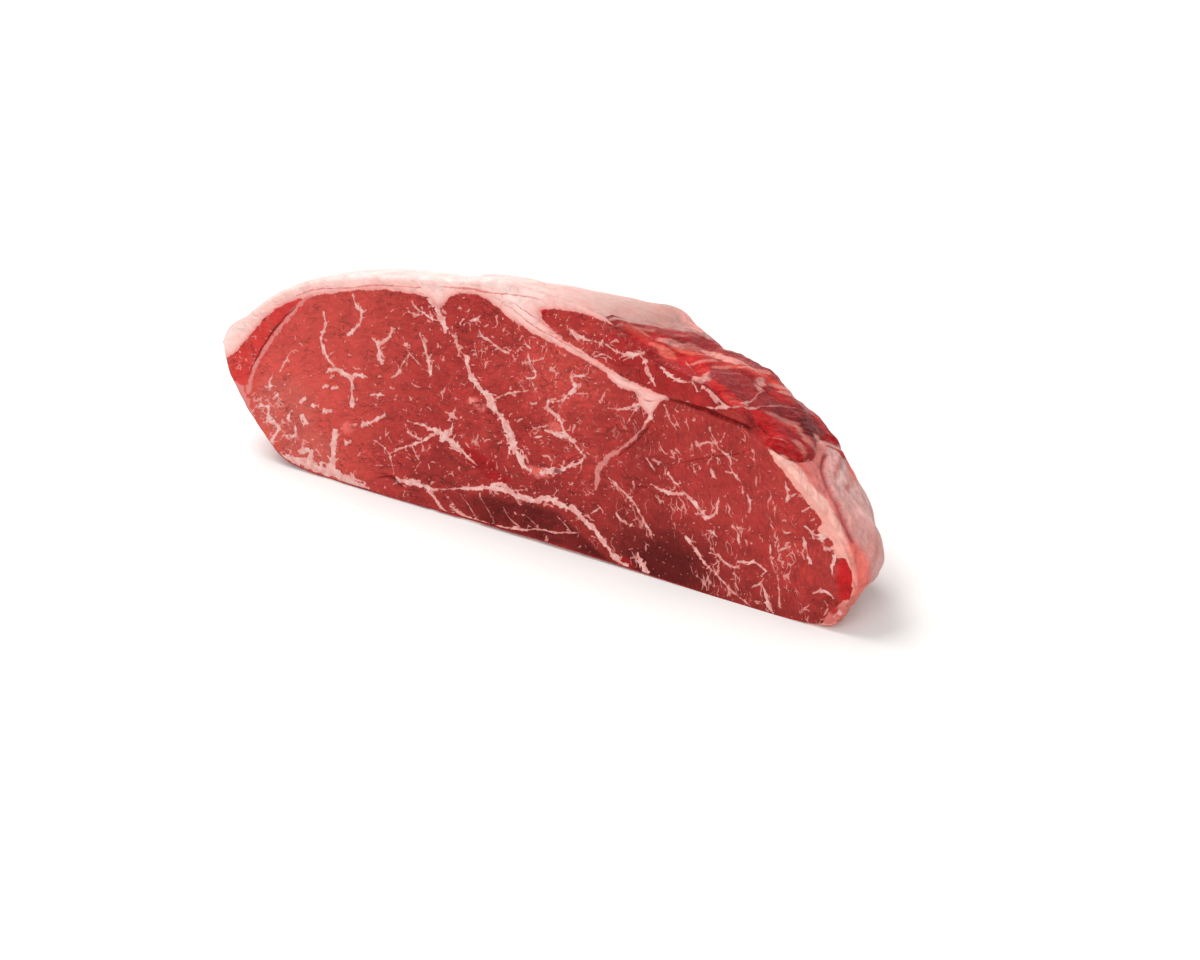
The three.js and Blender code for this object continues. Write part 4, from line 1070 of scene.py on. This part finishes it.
class Beef(Finish):
    """Patterns of lean, marbling and fat. The slab_mm field gives places in mm over the cut faces
    and skin_mm over the skin. Relief gathers (pattern, height) layers in mm."""

    def __init__(self, name):
        super().__init__(name)
        self.place, self.on_cut = self.field("slab_mm", "Vector"), self.field("cut")
        self.skin_place, self.wet = self.field("skin_mm", "Vector"), self.field("wet")
        self.u, self.flecky = self.parts(self.place)[0], self.field("flecky")
        self.rightward = self.ramp(self.u, 118, 168)
        self.crooked = self.moved(self.moved(self.place, 9, 1.8), 2.2, 0.45)
        self.bundle_border = self.border(self.crooked, BUNDLE)
        self.relief = []

    def line(self, name, soft, jag, spur=0.0):
        """Share of a line at a place, how far inside its side the place is, the distance to it and
        its half width, which swells and shrinks with noise and grows spurs along the borders of
        the bundles of fibre."""
        side, far, half = self.parts(self.field(name, "Vector"))
        beads = self.ramp(self.noise(self.place, 3.4, 2, 0.6), 0.32, 0.68, 0.35, 1.35)
        reach = self.plus(self.uneven(self.place, 1.8, jag, 1), (half, beads))
        if spur:
            spurs = self.ramp(self.bundle_border, 0.0, 0.7, 1.0, 0.0)
            spurs = self.times(spurs, self.plus(spur, (half, 0.5)), self.field("angular"))
            reach = self.math("ADD", spurs, reach)
        near = self.less(reach, self.math("ABSOLUTE", side))
        end = self.less(self.math("ADD", self.math("MAXIMUM", half, reach), 0.3), far)
        share = self.times(self.ramp(near, -soft, soft), self.ramp(end, -0.15, 0.25))
        return share, near, far, half

    def lean(self):
        """The painted tint, darker and lighter by fibres, which run along the slab on the left and
        lean over from upright on the right, by bundles of them, and by thin folds, cut in and painted
        darker:
        painted shade in them."""
        fibres = self.blend(self.rightward, *(
            self.noise(self.stretched(self.crooked, turn, 3.2), size, 3, 0.6)
            for turn, size in ((LEFT_FIBRES, 1.1), (RIGHT_FIBRES, 1.0))))
        grain = self.noise(self.place, 0.8, 2, 0.6)
        mottle = self.noise(self.stretched(self.crooked, LEFT_FIBRES, 1.8), 4.2, 3, 0.6)
        tone = self.plus(-0.29, (fibres, 1.1), (grain, 0.50), (mottle, 0.95))
        tone = self.blend(self.ramp(self.u, 10, 70, 0.62, 1.0), 0.985, tone)
        folds = self.noise(self.stretched(self.moved(self.place, 7, 1.6), 10, 2.6), 3.4, 2, 0.5)
        folds = self.ramp(self.math("ABSOLUTE", self.less(folds, 0.5)), 0.022, 0.002)
        folded = self.ramp(self.noise(self.shifted(self.place, (50, 0, 0)), 9, 2), 0.46, 0.58)
        folds = self.times(folds, folded, self.ramp(self.u, 180, 140), self.on_cut)
        self.relief += [(fibres, 0.42), (grain, 0.16), (folds, -0.25)]
        # The folds darken the lean: painted shade in the fine cracks.
        return self.scaled(self.field("lean_tint", "Color"), self.plus(tone, (folds, -0.40)))

    def net(self, size, bare, wide):
        """Broken net of fat round the bundles of fibre: a place is fat where their border is
        nearer than a width that noise gives, wide (noise - bare), so the fat is thickest where
        three bundles meet and breaks up in between."""
        thick = self.times(wide, self.less(self.noise(self.crooked, size, 2, 0.6), bare))
        return self.ramp(self.less(thick, self.bundle_border), -0.1, 0.12)

    def stars(self, vector, size, twig, crowd):
        """Round the middle of each cell, fat along the borders of small cells, thinning out to a
        reach that differs from cell to cell; crowd is the share of cells that have any."""
        spot = self.cells(vector, size)
        bare = self.plus(1.0, (self.flecky, -crowd))
        reach = self.ramp(self.parts(spot["Color"])[1], bare, 1.15, 0.0, 2.6)
        rest = self.less(reach, self.times(spot["Distance"], size))
        return self.ramp(self.less(self.times(rest, 0.17), self.border(vector, twig)), -0.04, 0.12)

    def flecks(self, vein_far, vein_half):
        """Share of small flecks: a net that thickens beside the veins, little stars, leaning ones
        on the right, and specks."""
        beside = self.ramp(self.less(vein_far, vein_half), 2.6, 0.2, 0.0, 0.05)
        bare = self.less(self.plus(0.63, (self.flecky, -0.045)), beside)
        net = self.net(3.7, self.plus(bare, (self.rightward, 0.06)), 5.0)
        aslant = self.stretched(self.crooked, RIGHT_STARS_TURN, 2.3)
        stars = self.blend(self.rightward, self.stars(self.crooked, *LEFT_STARS),
                           self.stars(aslant, *RIGHT_STARS))
        speck = self.cells(self.crooked, 2.0)
        size = self.plus(-0.14, (self.parts(speck["Color"])[0], 0.30))
        specks = self.ramp(self.less(size, speck["Distance"]), -0.02, 0.06)
        specks = self.times(specks, self.math("MULTIPLY", self.flecky, 0.65, clamp=True))
        large = self.times(self.math("MAXIMUM", net, stars), 0.75)
        flecks = self.times(self.math("MAXIMUM", large, specks), self.on_cut)
        self.relief.append((flecks, 0.05))
        return flecks

    def strands(self):
        """Strands along the skin, turned one way on the torn top and the other way on the end."""
        drawn = self.moved(self.skin_place, 7, 1.4)
        strands = self.blend(self.ramp(self.parts(self.skin_place)[0], 206, 210), *(
            self.noise(self.stretched(drawn, turn, 6.0), 1.4, 3, 0.6)
            for turn in (TOP_STRANDS, END_STRANDS)))
        self.relief.append((strands, self.times(self.wet, 0.9)))
        return strands

    def fat(self, strands):
        """Share of fat, with a frayed edge, and its painted tint, pinker in patches, with fine
        streaks."""
        edge = self.math("ADD", self.field("fat"), self.math(
            "ADD", self.uneven(self.place, 1.3, 0.25), self.uneven(self.place, 3.6, 0.4)))
        share = self.ramp(edge, -0.25, 0.3)
        blush = self.ramp(self.noise(self.place, 11, 4, 0.62), 0.42, 0.68)
        wisps = self.noise(self.stretched(self.moved(self.place, 8, 1.5), -14, 5.0), 1.5, 3, 0.6)
        fat = self.mix(self.times(blush, 0.3), self.field("fat_tint", "Color"), FAT_BLUSH)
        fat = self.scaled(fat, self.ramp(wisps, 0.3, 0.7, 0.90, 1.06))
        self.relief.append((wisps, self.times(share, 0.24)))
        return share, self.scaled(
            fat, self.plus(1.0, (self.times(self.wet, 2.2), self.less(strands, 0.5))))


def raw_beef():
    """The meat in layers: lean, its flecks, streaks, membranes and veins, then fat and creases
    over them; the creases are painted dark, which in the cracks is painted shade. The torn top has a faint
    wet coat."""
    f = Beef("raw_beef")
    vein, vein_in, vein_far, vein_half = f.line("vein", 0.14, 0.10, 0.22)
    film, crease = f.line("film", 0.3, 0.08)[0], f.line("crease", 0.22, 0.06)[0]
    colour, strands = f.lean(), f.strands()
    colour = f.mix(f.flecks(vein_far, vein_half), colour, FLECK)
    colour = f.mix(f.times(f.ramp(strands, 0.50, 0.64), f.field("streaky"), 0.6), colour, STREAK)
    colour = f.mix(f.times(f.ramp(strands, 0.46, 0.36), f.wet, 0.35), colour, BETWEEN_STREAKS)
    colour = f.mix(f.times(film, 0.8), colour, MEMBRANE)
    vein_tint = f.mix(f.ramp(f.noise(f.place, 3, 3), 0.38, 0.62), VEIN_PALE, VEIN_PINK)
    vein_tint = f.mix(f.ramp(vein_in, 0.45, -0.1), vein_tint, VEIN_EDGE)
    thin = f.ramp(vein_half, 0.1, 0.6, 0.7, 0.97)
    colour = f.mix(f.times(vein, thin, f.plus(0.65, (f.on_cut, 0.35))), colour, vein_tint)
    fat_share, fat = f.fat(strands)
    colour = f.mix(fat_share, colour, fat)
    # Creases and grooves painted dark: painted shade in the cracks, the real red of the blood lines.
    crease_shade_and_blood_tint = f.mix(fat_share, CREASE_SHADE_AND_BLOOD_IN_LEAN, CREASE_SHADE_AND_BLOOD_IN_FAT)
    colour = f.mix(f.times(crease, 0.72), colour, crease_shade_and_blood_tint)

    bump = f.node("ShaderNodeBump", {
        "Height": f.plus(0.0, *f.relief, (vein, 0.12)), "Strength": 0.85, "Distance": MM}, "Normal")
    rough = f.ramp(f.noise(f.place, 0.9, 2), 0.3, 0.7, 0.30, 0.52)
    surface = f.node("ShaderNodeBsdfPrincipled", {
        "Base Color": colour, "Roughness": f.plus(rough, (f.wet, -0.08)), "Normal": bump,
        "Subsurface Weight": 0.12, "Subsurface Radius": (1.0, 0.28, 0.2),
        "Subsurface Scale": 0.0014, "Specular IOR Level": 0.12,
        "Coat Weight": f.times(f.wet, 0.05), "Coat Roughness": 0.12,
    }, "BSDF")
    f.made("ShaderNodeOutputMaterial", {"Surface": surface})
    return f.material


roast.data.materials.append(raw_beef())
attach(roast, "root")
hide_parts("lean", "fat_cap", "end_fat")


# ---------------------------------------------------------------- floor, light and camera
def plain(name, colour, roughness):
    """One even colour with a faint unevenness in its roughness."""
    f = Finish(name)
    place_m = f.node("ShaderNodeTexCoord", output="Object")
    rough = f.ramp(f.noise(place_m, 0.08), 0.3, 0.7, roughness - 0.05, roughness + 0.05)
    surface = f.node("ShaderNodeBsdfPrincipled", {
        "Base Color": (*colour, 1.0), "Roughness": rough, "Specular IOR Level": 0.2}, "BSDF")
    f.made("ShaderNodeOutputMaterial", {"Surface": surface})
    return f.material


def floor_sheet(half):
    """A level square round the origin at z = 0, twice the given half width across."""
    mesh = bpy.data.meshes.new("floor")
    corner = half * np.array([(-1, -1, 0), (1, -1, 0), (1, 1, 0), (-1, 1, 0)], float)
    mesh.from_pydata(corner, [], [(0, 1, 2, 3)])
    floor = bpy.data.objects.new("floor", mesh)
    bpy.context.scene.collection.objects.link(floor)
    mesh.materials.append(plain("pale_floor", tint(246, 245, 243), 0.6))


def facing(thing, target):
    """Turns a lamp or a camera so that its -Z axis points at the target."""
    thing.rotation_euler = (Vector(target) - thing.location).to_track_quat("-Z", "Y").to_euler()


def soft_box(name, spot, size, watts):
    """A square lamp at a spot, facing the roast."""
    lamp = bpy.data.lights.new(name, "AREA")
    lamp.shape = "SQUARE"
    lamp.size, lamp.energy = size, watts
    thing = bpy.data.objects.new(name, lamp)
    thing.location = spot
    bpy.context.scene.collection.objects.link(thing)
    facing(thing, LIT_SPOT)


LIT_SPOT = (0, 0, 0.04)
floor_sheet(half=4)
soft_box("window", spot=(-0.75, 0.35, 1.15), size=0.9, watts=17)
soft_box("fill", spot=(0.25, -1.4, 0.9), size=1.3, watts=9)
world = bpy.data.worlds.new("studio")
world.use_nodes = True
background = world.node_tree.nodes["Background"].inputs
background["Color"].default_value = (1.0, 0.99, 0.98, 1)
background["Strength"].default_value = 0.62
bpy.context.scene.world = world
bpy.context.scene.view_settings.view_transform = "Standard"

LENS, SENSOR = 70, 36
DISTANCE, HEIGHT_ANGLE, SIDE_ANGLE = 904, np.radians(28), np.radians(31.1765)
TARGET = np.array([108.937, 54.226, 0.0])  # in the slab's mm, where the camera looks
towards_camera = np.array([
    np.sin(SIDE_ANGLE) * np.cos(HEIGHT_ANGLE), -np.cos(SIDE_ANGLE) * np.cos(HEIGHT_ANGLE),
    np.sin(HEIGHT_ANGLE),
])
lens = bpy.data.cameras.new("camera")
lens.lens, lens.sensor_width = LENS, SENSOR
camera = bpy.data.objects.new("camera", lens)
camera.location = (TARGET + towards_camera * DISTANCE - MIDDLE) * MM
bpy.context.scene.collection.objects.link(camera)
facing(camera, (TARGET - MIDDLE) * MM)
bpy.context.scene.camera = camera
